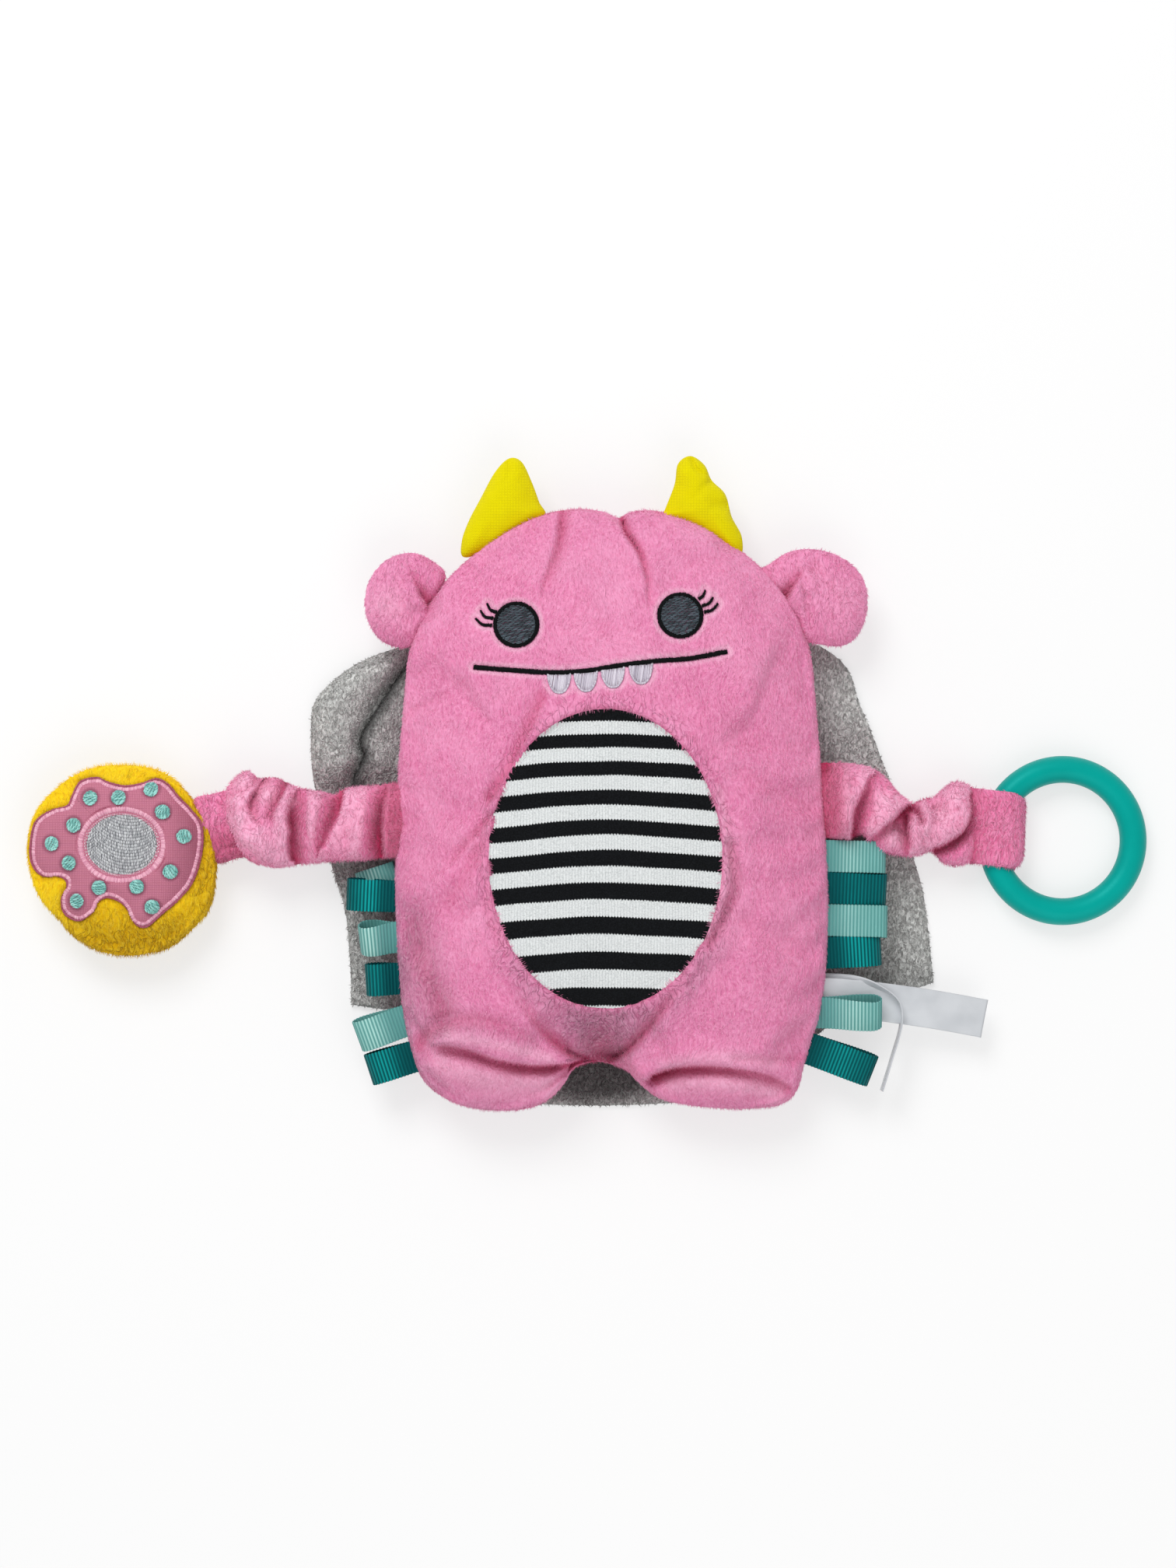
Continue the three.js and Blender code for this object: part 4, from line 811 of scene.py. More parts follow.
def pileTree():
    group, given, out = newTree("plush pile", {
        "Density": 1.0e6, "Length": 0.0024, "Thickness": 0.0005, "Lean": (0.0, -0.9, 0.0), "Swirl": 1.6,
        "Stray": 0.35, "Seed": 1})
    density = times(group, given["Density"], minus(group, 1.0, readField(group, "bare")))
    points = put(group, "GeometryNodeDistributePointsOnFaces",
                 {"Mesh": given["Geometry"], "Density": density, "Seed": given["Seed"]})
    swirl = put(group, "ShaderNodeTexNoise", {"Scale": 34.0, "Detail": 1.0})["Color"]
    swirl = vectors(group, "SUBTRACT", swirl, (0.5, 0.5, 0.5))
    swirl = scaled(group, swirl, given["Swirl"])
    spread = {0: (-1.0, -1.0, -1.0), 1: (1.0, 1.0, 1.0), "Seed": given["Seed"]}
    stray = put(group, "FunctionNodeRandomValue", spread, data_type="FLOAT_VECTOR")[0]
    stray = scaled(group, stray, given["Stray"])
    lean = given["Lean"]
    for more in (swirl, readField(group, "comb", "FLOAT_VECTOR"), stray):
        lean = vectors(group, "ADD", lean, more)
    along = put(group, "ShaderNodeVectorMath", {0: lean, 1: points["Normal"]},
                operation="DOT_PRODUCT")["Value"]
    lift = minus(group, 0.34, along)  # lies over, but never into the cloth
    up = scaled(group, points["Normal"], lift)
    way = vectors(group, "ADD", lean, up)
    turn = put(group, "FunctionNodeAlignRotationToVector", {"Vector": way}, axis="Z")[0]
    size = put(group, "FunctionNodeRandomValue", {2: 0.65, 3: 1.25, "Seed": given["Seed"]},
               data_type="FLOAT")[1]
    size = times(group, size, plus(group, readField(group, "longer"), 1.0))
    strand = put(group, "GeometryNodeMeshCone",
                 {"Vertices": 3, "Side Segments": 1, "Radius Top": 0.0, "Depth": given["Length"],
                  "Radius Bottom": times(group, given["Thickness"], 0.5)}, fill_type="NGON")["Mesh"]
    strands = put(group, "GeometryNodeInstanceOnPoints",
                  {"Points": points["Points"], "Instance": strand, "Rotation": turn, "Scale": size})[0]
    shade = put(group, "FunctionNodeRandomValue", {2: 0.0, 3: 1.0, "Seed": 21}, data_type="FLOAT")[1]
    strands = storeField(group, strands, "strand", shade, "INSTANCE")
    return closeTree(group, given, out, strands)


stitches, ribbonWeave, pileTufts = threadTree(), ribbonTree(), pileTree()


def growPiece(name, points, edges, tree, values, marks=None):
    mesh = bpy.data.meshes.new(name)
    mesh.from_pydata(np.asarray(points) * mm, edges, [])
    for label, mark in (marks or {}).items():
        mark = np.asarray(mark, np.float32)
        kind, field = ("FLOAT", "value") if mark.ndim == 1 else ("FLOAT_VECTOR", "vector")
        mesh.attributes.new(label, kind, "POINT").data.foreach_set(field, mark.ravel())
    return growOn(name, mesh, tree, values)


def growOn(name, mesh, tree, values):
    piece = hold(name, mesh)
    modifier = piece.modifiers.new(tree.name, "NODES")
    modifier.node_group = tree
    for socket in tree.interface.items_tree:
        if socket.in_out == "INPUT" and socket.name in values:
            modifier[socket.identifier] = values[socket.name]
    ready = piece.evaluated_get(bpy.context.evaluated_depsgraph_get())
    grown = bpy.data.meshes.new_from_object(ready)
    piece.modifiers.remove(modifier)
    piece.data = grown
    return piece


def growPile(skin, look, bare=None, comb=None):  # short strands all over a plush skin
    mesh = skin.data.copy()
    places = np.empty(len(mesh.vertices) * 3)
    mesh.vertices.foreach_get("co", places)
    nearFloor = 1.3 * look["length"] * mm
    whole = (places[2::3] < nearFloor).astype(np.float32)  # none where the skin lies on the floor
    if bare is not None:
        whole[: bare.size] = np.maximum(whole[: bare.size], bare.ravel())
    mesh.attributes.new("bare", "FLOAT", "POINT").data.foreach_set("value", whole)
    if comb is not None:
        ways = np.zeros(places.size, np.float32)
        ways[: comb.size] = comb.ravel()
        mesh.attributes.new("comb", "FLOAT_VECTOR", "POINT").data.foreach_set("vector", ways)
    values = {"Density": look["density"] * 1.0e6, "Length": look["length"] * mm,
              "Thickness": look["thickness"] * mm, "Lean": (0.0, look["lean"], 0.0), "Swirl": look["swirl"],
              "Stray": look["stray"], "Seed": look.get("seed", 1), "Material": skin.data.materials[0]}
    return growOn(skin.name.replace("_skin", "") + "_pile", mesh, pileTufts, values)


stitchLook = dict(steps=5, sides=5, sink=0.25)


def sewThreads(name, surface, stitchEnds, look):  # each stitch is a thread over the cloth, sunk at both ends
    ends = np.asarray(stitchEnds)
    way = np.linspace(0, 1, stitchLook["steps"])
    flat = ends[:, :1] * (1 - way)[:, None] + ends[:, 1:] * way[:, None]
    dome = look["lift"] * (1 - np.abs(2 * way - 1) ** 3) - stitchLook["sink"] + look["rise"]
    points = withHeight(flat, heightsOn(surface, flat) + dome)
    index = np.arange(points.shape[0] * points.shape[1]).reshape(points.shape[:2])
    edges = np.stack([index[:, :-1], index[:, 1:]], -1).reshape(-1, 2).tolist()
    values = {"Thickness": look["thread"] * mm, "Sides": stitchLook["sides"], "Seed": look.get("seed", 3),
              "Material": look["material"]}
    return growPiece(name, points.reshape(-1, 3), edges, stitches, values)


def weaveRibbon(name, points, look, material, marks):  # ribbed ribbon along a line of points
    values = {"Width": look["width"] * mm, "Thickness": look["thickness"] * mm,
              "Rib Pitch": look["pitch"] * mm, "Rib Depth": look["depth"] * mm, "Material": material}
    edges = [(k, k + 1) for k in range(len(points) - 1)]
    return growPiece(name, points, edges, ribbonWeave, values, marks)


def satinLine(path, width, pitch, closed=False, tip=1.0, seed=1):  # stitches across a line
    dense = curveThrough(path, 400, closed)
    line = curveThrough(path, max(4, int(lengthOf(dense) / pitch)), closed)
    if closed:
        along = np.roll(line, -1, 0) - np.roll(line, 1, 0)
    else:
        along = np.gradient(line, axis=0)
    along = unit(along)
    across = np.stack([-along[:, 1], along[:, 0]], 1)
    half = width / 2 * np.linspace(1, tip, len(line))[:, None]
    jitter = np.random.default_rng(seed).normal(0, 0.05, (2, len(line), 1)) * width
    slanted = line - across * (half + jitter[0]) - 0.15 * along
    return np.stack([slanted, line + across * (half + jitter[1])], 1)


def satinFill(outline, pitch, angle, stitch=None, seed=1, shift=0.37):  # parallel stitches inside an outline
    turn = math.radians(angle)
    rotate = np.array([[math.cos(turn), -math.sin(turn)], [math.sin(turn), math.cos(turn)]])
    loop = np.asarray(outline) @ rotate
    after = np.roll(loop, -1, 0)
    random = np.random.default_rng(seed)
    found = []
    for row, level in enumerate(np.arange(loop[:, 1].min() + pitch / 2, loop[:, 1].max(), pitch)):
        crosses = (loop[:, 1] > level) != (after[:, 1] > level)
        share = (level - loop[crosses, 1]) / (after[crosses, 1] - loop[crosses, 1])
        xs = np.sort(loop[crosses, 0] + share * (after[crosses, 0] - loop[crosses, 0]))
        for low, high in zip(xs[::2], xs[1::2]):
            cuts = [low, high]
            if stitch:
                inner = np.arange(low + stitch * ((row * shift) % 1), high, stitch)
                cuts = [low] + [c for c in inner if low + 0.4 < c < high - 0.4] + [high]
            for a, b in zip(cuts[:-1], cuts[1:]):
                slip, tip = random.normal(0, 0.06, 2)
                found.append([(a + slip * 0.5, level + tip), (b + tip * 0.5, level - slip)])
    return np.asarray(found) @ rotate.T


def ovalOutline(x, y, wide, tall, count=64):
    angle = circle(count)
    return np.stack([x + wide * np.cos(angle), y + tall * np.sin(angle)], 1)


# Body: front, back and feet in one stuffed skin

body = dict(
    outline=[(3.4, 117.5), (-3, 120), (-14, 121), (-28, 118.5), (-39, 113.5), (-49, 107), (-57, 100.6),
             (-64, 94), (-69, 88), (-73, 82), (-76.5, 75.6), (-80.5, 63), (-82.5, 44), (-85, 13), (-86, -18),
             (-86, -40), (-84.8, -62), (-83, -81), (-80.2, -94), (-76.4, -105.6), (-70, -113), (-59, -118.6),
             (-44, -120.6), (-32, -119.4), (-24, -115.4), (-19, -110.2), (-15.6, -105), (-12, -102.4),
             (-4.4, -101), (3, -102.8), (7.6, -105), (11, -108.6), (15, -112.2), (21, -116), (31, -118.2),
             (46, -119.6), (58.4, -119.6), (69, -118), (75, -112.6), (78, -102), (81, -92), (84.4, -81),
             (86.8, -62), (87.6, -40), (87, -18), (85, 13), (82.5, 44), (80.5, 63), (76.5, 75.6), (73, 82),
             (69, 88), (64, 94), (57, 100.6), (49, 107), (39, 113.5), (28, 118), (16, 120.6), (8, 119.6)],
    centre=(-1, -8),
    shape=dict(seamZ=20, front=26.3, back=17.1, frontPower=2.6, frontEdge=0.55, backPower=6, backEdge=0.5,
               frontRings=100, backRings=40),
    columns=600,
    cloth=dict(every=4, pressure=4.0, slack=0.05, stiffness=12, bending=0.4, cap=2.6, back=0.3),
    folds=[
        pleat([(3.4, 122), (6.2, 111), (11.2, 103), (14.4, 93), (15.6, 80)], 8, 2.1, over=-1, lip=0.4),
        pleat([(-19.6, 119), (-19.9, 112), (-21.5, 103), (-26, 91)], 3.6, 3.4, sharp=1.2, over=-1, lip=0.4,
              ends=(1, 0.45)),
        pleat([(-57, 99.6), (-53, 95.6), (-49, 90.6)], 2, 1.8, over=1),
        pleat([(-84, 38), (-73, 43.5), (-57, 51)], 1.9, 3.4, over=1),
        pleat([(-66, 72), (-72, 60), (-80, 50)], 1.2, 4),
        pleat([(-26, 45), (-31, 34), (-39.7, 17), (-46.5, 5)], 3.2, 3.4, sharp=1.2, over=1, lip=0.4,
              ends=(0.7, 1)),
        pleat([(-48, -4), (-55, -11.5), (-62, -20)], 2.8, 2.8, sharp=1.2, over=1, lip=0.4, ends=(1, 0.4)),
        pleat([(-49.6, -11), (-57, -24), (-65, -38)], 2.4, 3.6, lip=0.5, ends=(1, 0.5)),
        pleat([(-79, -46), (-73.5, -64), (-67, -80)], 3, 6, lip=0.2, ends=(0.6, 1)),
        pleat([(47.4, -14), (49.8, -28), (46, -40), (39.4, -52)], 2.8, 2.4, lip=0.6, ends=(0.7, 1)),
        pleat([(-48.6, -28), (-47, -42), (-40, -56)], 2, 2.4, lip=0.5, ends=(1, 0.8)),
        pleat([(52, 15), (66, 9), (80, 2)], 1.8, 4.2, ends=(1, 0.6)),
        pleat([(48, 34), (60, 27), (72, 24)], 1.6, 4, ends=(1, 0.5)),
        pleat([(52, -44), (66, -52), (80, -56)], 1.6, 4.5, ends=(1, 0.6)),
        pleat([(18, 84), (30, 95), (44, 100)], 1.5, 4.5, ends=(1, 0.6)),
        pleat([(-6, -101.6), (-16, -97), (-27, -88), (-38, -72)], 6.5, 3.4, over=1),
        pleat([(-1, -101.6), (8, -95), (19, -82), (31, -64)], 6, 3.6, over=-1),
        pleat([(-3.6, -106), (-3.4, -84)], 9, 10, lip=0, ends=(1, 0.1)),
        pleat([(-11, -100.6), (-20, -101.6), (-32.5, -101.9), (-44.8, -99.6), (-57, -95.4), (-66.5, -93.6)],
              9, 3.3, sharp=1.0, over=-1, ends=(0.9, 0.55), lip=0.5),
        pleat([(-18, -98.6), (-34, -94.4), (-47, -89.8), (-59, -88.4), (-68, -91)], -3, 4.6, lip=0,
              ends=(0.4, 1)),
        pleat([(-72, -104), (-45, -108), (-22, -106)], -2.2, 8, lip=0, ends=(1, 0.6)),
        pleat([(-76, -94), (-71, -87.4), (-61, -83.2), (-46, -84.2), (-31, -90.4)], 3.2, 3.2, lip=0.3,
              ends=(1, 0.3)),
        pleat([(17, -106.2), (27, -102.9), (39, -102.1), (51.5, -103.4), (64, -106.6), (72, -111)], 8.5, 3.3,
              sharp=1.0, over=1, ends=(1, 0.3), lip=0.5),
        pleat([(8, -99), (34, -95), (58, -97), (73, -103)], -2.4, 5, lip=0, ends=(0.6, 1)),
        pleat([(20, -109.5), (44, -109), (62, -112)], -1.6, 6, lip=0, ends=(1, 0.8)),
        pleat([(50, -98.4), (64, -99), (79, -99.6)], 1.9, 1.8, ends=(0.6, 1)),
        pleat([(-15, -103), (-23, -109), (-30, -115)], 3, 1.5),
    ],
    lumps=[(38, 1.1), (15, 0.4), (3.2, 0.13), (1.7, 0.08)],
    # painted shade where the pile points away from the light
    slope=dict(x=-3, top=-77, bottom=-101, topHalf=28, bottomHalf=8, strength=0.82),
    lap=dict(y=-30, length=12, halfWidth=58, depth=1.9, z=3.9, ripple=0.15, thickness=1.6, columns=120,
             rows=16),
    shades=[  # painted shade: path, width and strength
        ([(-82, -44), (-77, -60), (-72, -74), (-69, -84)], 9, 0.55),
        ([(42, -54), (32, -70), (18, -86)], 4, 0.35),
        ([(48, -14), (50.4, -28), (46.6, -40), (40, -52)], 2.6, 0.35),
        ([(-40, -58), (-30, -72), (-18, -86)], 6, 0.35),
        ([(-84, -86), (-79, -98), (-70, -110)], 5, 0.4),
        ([(-66, -86), (-48, -86.5), (-30, -92)], 4, 0.3),
    ],
    # painted highlights: path, width and strength
    lights=[
        ([(-66, -101), (-45, -107), (-26, -108)], 6, 0.5),
        ([(24, -108.6), (45, -108), (66, -112)], 4.5, 0.5),
        ([(-64, -89), (-46, -92.4), (-24, -98)], 2.6, 0.45),
        ([(22, -101), (42, -97.6), (66, -101)], 3, 0.35),
        ([(43, 8), (46.6, -14), (45.4, -30), (38, -50)], 2.0, 0.35),
    ],
    edgeShade=dict(x=-70, wide=14, top=-42, bottom=-100, strength=0.75, hem=-113, hemStrength=0.35),
    pile=dict(density=1.0, length=1.25, thickness=0.25, lean=-0.8, swirl=1.7, stray=0.25),
)
belly = dict(x=-1.8, y=-19, wide=45.5, tall=58.6, sink=2.4, lip=1.5, rib=1.2, ribDepth=0.12, seam=0.8,
             thickness=0.9, columns=466, rows=90, stations=60)
face = dict(
    eyes=[dict(x=-37.2, y=73.8), dict(x=27.8, y=77.4)],
    eyeRadius=9.2,
    ring=1.7,
    pressDepth=1.1,
    lashes=[
        [[(-45.2, 78.9), (-47.5, 79.8), (-48.8, 82.4)], [(-46.6, 76.4), (-49.6, 77), (-51.5, 79.6)],
         [(-47, 73.6), (-50.6, 73.9), (-53.4, 76.4)]],
        [[(35.2, 84.1), (36.9, 85.2), (37.8, 87.5)], [(36.6, 81.3), (39.3, 82.3), (40.9, 84.7)],
         [(37.5, 78.8), (40.6, 79.7), (42.8, 82.2)]],
    ],
    mouth=[(-53.9, 56.9), (-38, 55.6), (-23.8, 54.7), (-9.8, 55.3), (4, 57.5), (18, 59.2), (31.9, 60.3),
           (46.3, 63.1)],
    teeth=[dict(x=-20.2, top=54.3), dict(x=-9.7, top=55), dict(x=1.0, top=56.5), dict(x=12.1, top=58)],
    toothWidth=9.0,
    toothHeight=7.6,
    toothPress=dict(wide=4.6, tall=4.3, reach=4.4),
    toothShape=[(-1, 0), (-0.82, -0.55), (-0.35, -0.95), (0.35, -0.97), (0.82, -0.58)],
)


def toothOutline(tooth):
    half, tall = face["toothWidth"] / 2, face["toothHeight"]
    x, top = tooth["x"], tooth["top"]
    points = [(x + half * a, top + tall * b) for a, b in face["toothShape"]]
    return curveThrough(points + [(x + half, top + 0.4)], 40)


def ovalDistance(x, y):  # millimetres outside the belly's edge
    reach = np.hypot((x - belly["x"]) / belly["wide"], (y - belly["y"]) / belly["tall"])
    return (reach - 1) * 0.5 * (belly["wide"] + belly["tall"])


def pressOf(x, y):  # how far embroidery presses the pile down, and the pale rim round it
    press, rim = np.zeros(x.shape), np.zeros(x.shape)
    spots = [np.hypot(x - eye["x"], y - eye["y"]) - face["eyeRadius"] for eye in face["eyes"]]
    spots.append(nearPath(x, y, curveThrough(face["mouth"], 30))[0] - 0.8)
    for lashes in face["lashes"]:
        spots += [nearPath(x, y, curveThrough(lash, 6))[0] - 0.6 for lash in lashes]
    pad = face["toothPress"]
    for tooth in face["teeth"]:
        middle = tooth["top"] - 0.42 * face["toothHeight"]
        out = np.hypot((x - tooth["x"]) / pad["wide"], (y - middle) / pad["tall"])
        spots.append((out - 1) * pad["reach"])
    for distance in spots:
        press = np.maximum(press, 1 - ease(0, 1.6, distance))
        rim = np.maximum(rim, bell(distance - 0.7, 0.9))
    return press, rim


def makeBody():
    outline = curveThrough(body["outline"], body["columns"], True)
    rings, share, isFront = pillow(outline, body["centre"], body["shape"])
    pinned = seamPins(share)
    # the back lies flat on the cape
    pinned = np.where(isFront, pinned, np.maximum(pinned, 0.96 * (share < 0.9)))
    swell = np.where(isFront, 1.0, body["cloth"]["back"])[..., None]
    rings = rings + inflate(rings, pinned, body["cloth"]) * swell
    x, y = rings[..., 0], rings[..., 1]
    lift, paintedShade = foldHeights(x, y, body["folds"])
    lift = lift * ease(1.0, 0.965, share)
    lift = addLumps(lift, rings, body["lumps"], 11, ease(1.0, 0.94, share))
    edge = ovalDistance(x, y)
    lift = lift - belly["sink"] * ease(1.2, -1.5, edge) + belly["lip"] * bell(edge - 2.2, 2.0)
    press, rim = pressOf(x, y)
    lift = lift - face["pressDepth"] * press
    lap = body["lap"]
    inLap = ease(lap["halfWidth"] + 4, lap["halfWidth"], np.abs(x)) * ease(lap["y"] - 4, lap["y"] - 1.5, y)
    inLap = inLap * ease(lap["y"] + lap["length"] + 3, lap["y"] + lap["length"], y)
    rings[..., 2] += np.where(isFront, lift, lap["depth"] * inLap)
    piece = shellOf("body_skin", rings, pinkPlush)
    # painted highlights, with the pale rim of pressed pile round the embroidery
    glow = np.maximum(rim * (1 - 0.6 * press), strokesAt(x, y, body["lights"]))
    markPiece(piece, "pressed", np.where(isFront, glow, 0))
    # painted shade in the groove round the belly
    markPiece(piece, "paintedShade", np.where(isFront, np.maximum(paintedShade, 0.5 * bell(edge - 0.2, 0.9)), 0))
    slope = body["slope"]
    down = (slope["top"] - y) / (slope["top"] - slope["bottom"])
    half = slope["topHalf"] + (slope["bottomHalf"] - slope["topHalf"]) * np.clip(down, 0, 1)
    nap = slope["strength"] * ease(1.6, 0.3, np.abs(x - slope["x"]) / half) * ease(-0.3, 0.4, down)
    nap = nap * ease(-1, 2.5, edge)
    dim = body["edgeShade"]
    low = ease(dim["top"], dim["top"] - 16, y) * ease(dim["bottom"], dim["bottom"] + 14, y)
    nap = np.maximum(nap, dim["strength"] * ease(dim["x"], dim["x"] - dim["wide"], x) * low)
    nap = np.maximum(nap, dim["hemStrength"] * ease(dim["hem"], dim["hem"] - 9, y))
    nap = np.maximum(nap, strokesAt(x, y, body["shades"]))
    nap = nap * (0.85 + 0.3 * softNoise(rings * (1, 0.35, 1), 3.5, 19))
    markPiece(piece, "nap", np.where(isFront, nap, 0))
    bare = np.maximum(ease(-0.2, -0.9, edge), press) * isFront
    bare = np.maximum(bare, np.where(isFront, 0, np.maximum(0.72, inLap)))
    inwards = np.stack([belly["x"] - x, belly["y"] - y, 0 * x], -1)
    inwards /= np.maximum(lengths(inwards), 1)
    # the low rim stays clean
    upper = isFront * ease(belly["y"] - belly["tall"], belly["y"] - 0.8 * belly["tall"], y)
    markPiece(piece, "longer", 0.6 * bell(edge - 0.6, 2.0) * upper)
    markPiece(piece, "crimp", np.clip(0.16 + (0.5 * nap + 0.4 * bell(edge - 3, 4)) * isFront, 0, 1))
    pile = growPile(piece, body["pile"], bare, inwards * (2.6 * bell(edge - 0.4, 2.0) * upper)[..., None])
    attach(pile, "torso")
    print("  body pile:", len(pile.data.polygons), "faces")
    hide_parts("front_panel", "upper_back_panel", "lower_back_panel", "body_batting", "left_foot",
                "right_foot")
    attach(piece, "torso")
    print("body skin stuffed")
    return surfaceOf(piece)


def makeBelly(surface):
    angle = np.linspace(-1, 1, belly["rows"]) * math.pi / 2 * 0.985
    y = belly["y"] + (belly["tall"] + belly["seam"]) * np.sin(angle)
    half = (belly["wide"] + belly["seam"]) * np.cos(angle)
    x = belly["x"] + half[:, None] * np.linspace(-1, 1, belly["columns"])
    y = np.broadcast_to(y[:, None], x.shape)
    stations = np.linspace(0, belly["columns"] - 1, belly["stations"]).round().astype(int)
    under = heightsOn(surface, np.stack([x[:, stations], y[:, stations]], -1))
    z = np.stack([np.interp(np.arange(belly["columns"]), stations, row) for row in under])
    for _ in range(3):
        z[1:-1] = (z[:-2] + 2 * z[1:-1] + z[2:]) / 4
        z[:, 1:-1] = (z[:, :-2] + 2 * z[:, 1:-1] + z[:, 2:]) / 4
    edge = ovalDistance(x, y)
    z = z + 1.0 * ease(0.8, -2.5, edge) - 0.4 * ease(-1.0, 0.8, edge)
    z = z + belly["ribDepth"] / 2 * np.cos(2 * math.pi * x / belly["rib"]) * ease(0.5, -1, edge)
    piece = slabOf("belly_knit", np.stack([x, y, z], -1), belly["thickness"], bellyKnit)
    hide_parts("belly_patch")
    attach(piece, "torso")
    print("belly knit set in")


def sewPart(name, surface, ends, look, node, bodyName="torso"):
    piece = sewThreads(name, surface, ends, look)
    if node:
        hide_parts(node)
    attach(piece, bodyName)


def makeFace(surface):
    for side, eye, lashes in zip(("left", "right"), face["eyes"], face["lashes"]):
        inner = face["eyeRadius"] - face["ring"]
        fill = satinFill(ovalOutline(eye["x"], eye["y"], inner + 0.3, inner + 0.3), 0.56, 14, 3.0, 5)
        sewPart(f"{side}_eye_fill", surface, fill,
                dict(thread=0.6, lift=0.42, rise=0.55, material=eyeThread), f"{side}_eye")
        middle = inner + face["ring"] / 2
        ring = satinLine(ovalOutline(eye["x"], eye["y"], middle, middle), face["ring"], 0.34, True)
        ends = [ring] + [satinLine(lash, 1.35, 0.3, tip=0.55, seed=k) for k, lash in enumerate(lashes)]
        sewPart(f"{side}_eye_ring", surface, np.concatenate(ends),
                dict(thread=0.5, lift=0.6, rise=0.6, material=blackThread), f"{side}_eye_outline")
    sewPart("mouth_stitch", surface, satinLine(face["mouth"], 1.85, 0.34),
            dict(thread=0.52, lift=0.6, rise=0.6, material=blackThread), "mouth_line")
    for number, tooth in enumerate(face["teeth"], 1):
        fill = satinFill(toothOutline(tooth), 0.4, 82, None, number)
        rim = satinLine(toothOutline(tooth), 0.8, 0.36, seed=number)
        sewPart(f"tooth_fill_{number}", surface, np.concatenate([fill, rim]),
                dict(thread=0.5, lift=0.5, rise=0.5, material=toothThread, seed=number), f"tooth_{number}")
    print("face stitched")


def makeLap():
    lap = body["lap"]
    x = np.linspace(-lap["halfWidth"], lap["halfWidth"], lap["columns"])
    y = np.linspace(lap["y"], lap["y"] + lap["length"], lap["rows"])
    x, y = np.meshgrid(x, y, indexing="ij")
    z = lap["z"] + lap["ripple"] * np.sin(x / 4.5) * ease(lap["y"] + 6, lap["y"], y)
    piece = slabOf("back_lap", np.stack([x, y, z], -1), lap["thickness"], pinkPlush)
    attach(piece, "torso")


skinSurface = makeBody()
makeBelly(skinSurface)
makeFace(skinSurface)
makeLap()


# Ears and horns: small stuffed flaps with their seam in the head's rim

flaps = dict(
    left_ear=dict(
        outline=[(-66, 94), (-71, 100), (-78.8, 103.4), (-87, 102), (-93.5, 97), (-97.4, 90), (-98.3, 82),
                 (-96.5, 74.5), (-91.5, 68), (-84, 65.3), (-79, 66.5), (-75, 72), (-71, 82)],
        centre=(-84, 84), thickness=6.4, light=(-89, 82, 8, 0.4),
        folds=[pleat([(-70, 79), (-74, 84), (-77.5, 91), (-80.8, 98)], 5.4, 3.6, sharp=0.9, over=1, lip=0.5),
               pleat([(-76, 86), (-82, 91)], 1.5, 1.6),
               pleat([(-74, 80), (-82, 78), (-86, 74)], 1.3, 2.6),
               pleat([(-80, 94), (-86, 90)], 1, 1.4)]),
    right_ear=dict(
        outline=[(60, 94.4), (65, 99.5), (72, 103.8), (80.6, 105), (90, 103), (98, 98), (102.6, 91),
                 (103.4, 82.5), (102, 75), (98, 68.6), (92.5, 66), (85, 66.6), (78, 69), (72, 80)],
        centre=(86, 86), thickness=6.4, light=(94, 84, 8, 0.15),
        folds=[pleat([(69, 82), (72, 87.5), (75.6, 93.5), (78.6, 98.5)], 5.6, 3.6, sharp=0.9, over=-1,
                     lip=0.5),
               pleat([(76.4, 94), (78.2, 86), (80.4, 73)], 1.6, 1.2, ends=(1, 0.4)),
               pleat([(78.6, 93), (80.2, 85), (82, 78)], 1.1, 1),
               pleat([(82, 97), (88, 91), (92, 84)], 1.8, 3.6)]),
)
horns = dict(
    left_horn=dict(
        outline=[(-58.8, 101.8), (-59.5, 108), (-56.8, 116), (-52.1, 125), (-46.2, 135.8), (-40.5, 141.4),
                 (-35.4, 140), (-31.3, 131.8), (-28.4, 124), (-26, 118), (-36, 112), (-50, 104)],
        centre=(-43, 121), thickness=6.2,
        folds=[pleat([(-41, 142), (-40, 136), (-43, 130)], 1.2, 1.5),
               pleat([(-50, 108), (-46, 118), (-44, 126)], 0.8, 3)]),
    right_horn=dict(
        outline=[(52.4, 102.6), (53, 110), (49, 118), (46.4, 127), (41, 132.6), (38, 138.8), (32.4, 142.4),
                 (27.4, 139.2), (26, 131), (22.2, 121), (21, 117.5), (30, 114), (44, 107)],
        centre=(38, 121), thickness=6.2,
        folds=[pleat([(33, 143), (35, 137), (41, 134)], 2.2, 1.5, over=1),
               pleat([(44, 134), (38, 130), (34, 124)], 1.5, 1.6),
               pleat([(48, 122), (42, 122), (38, 116)], 1.3, 2.2)]),
)
earPile = dict(density=1.3, length=1.3, thickness=0.26, lean=-0.7, swirl=1.8, stray=0.3, seed=2)


def bendFlap(piece):  # bakes the piece's placement into its mesh
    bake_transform(piece)


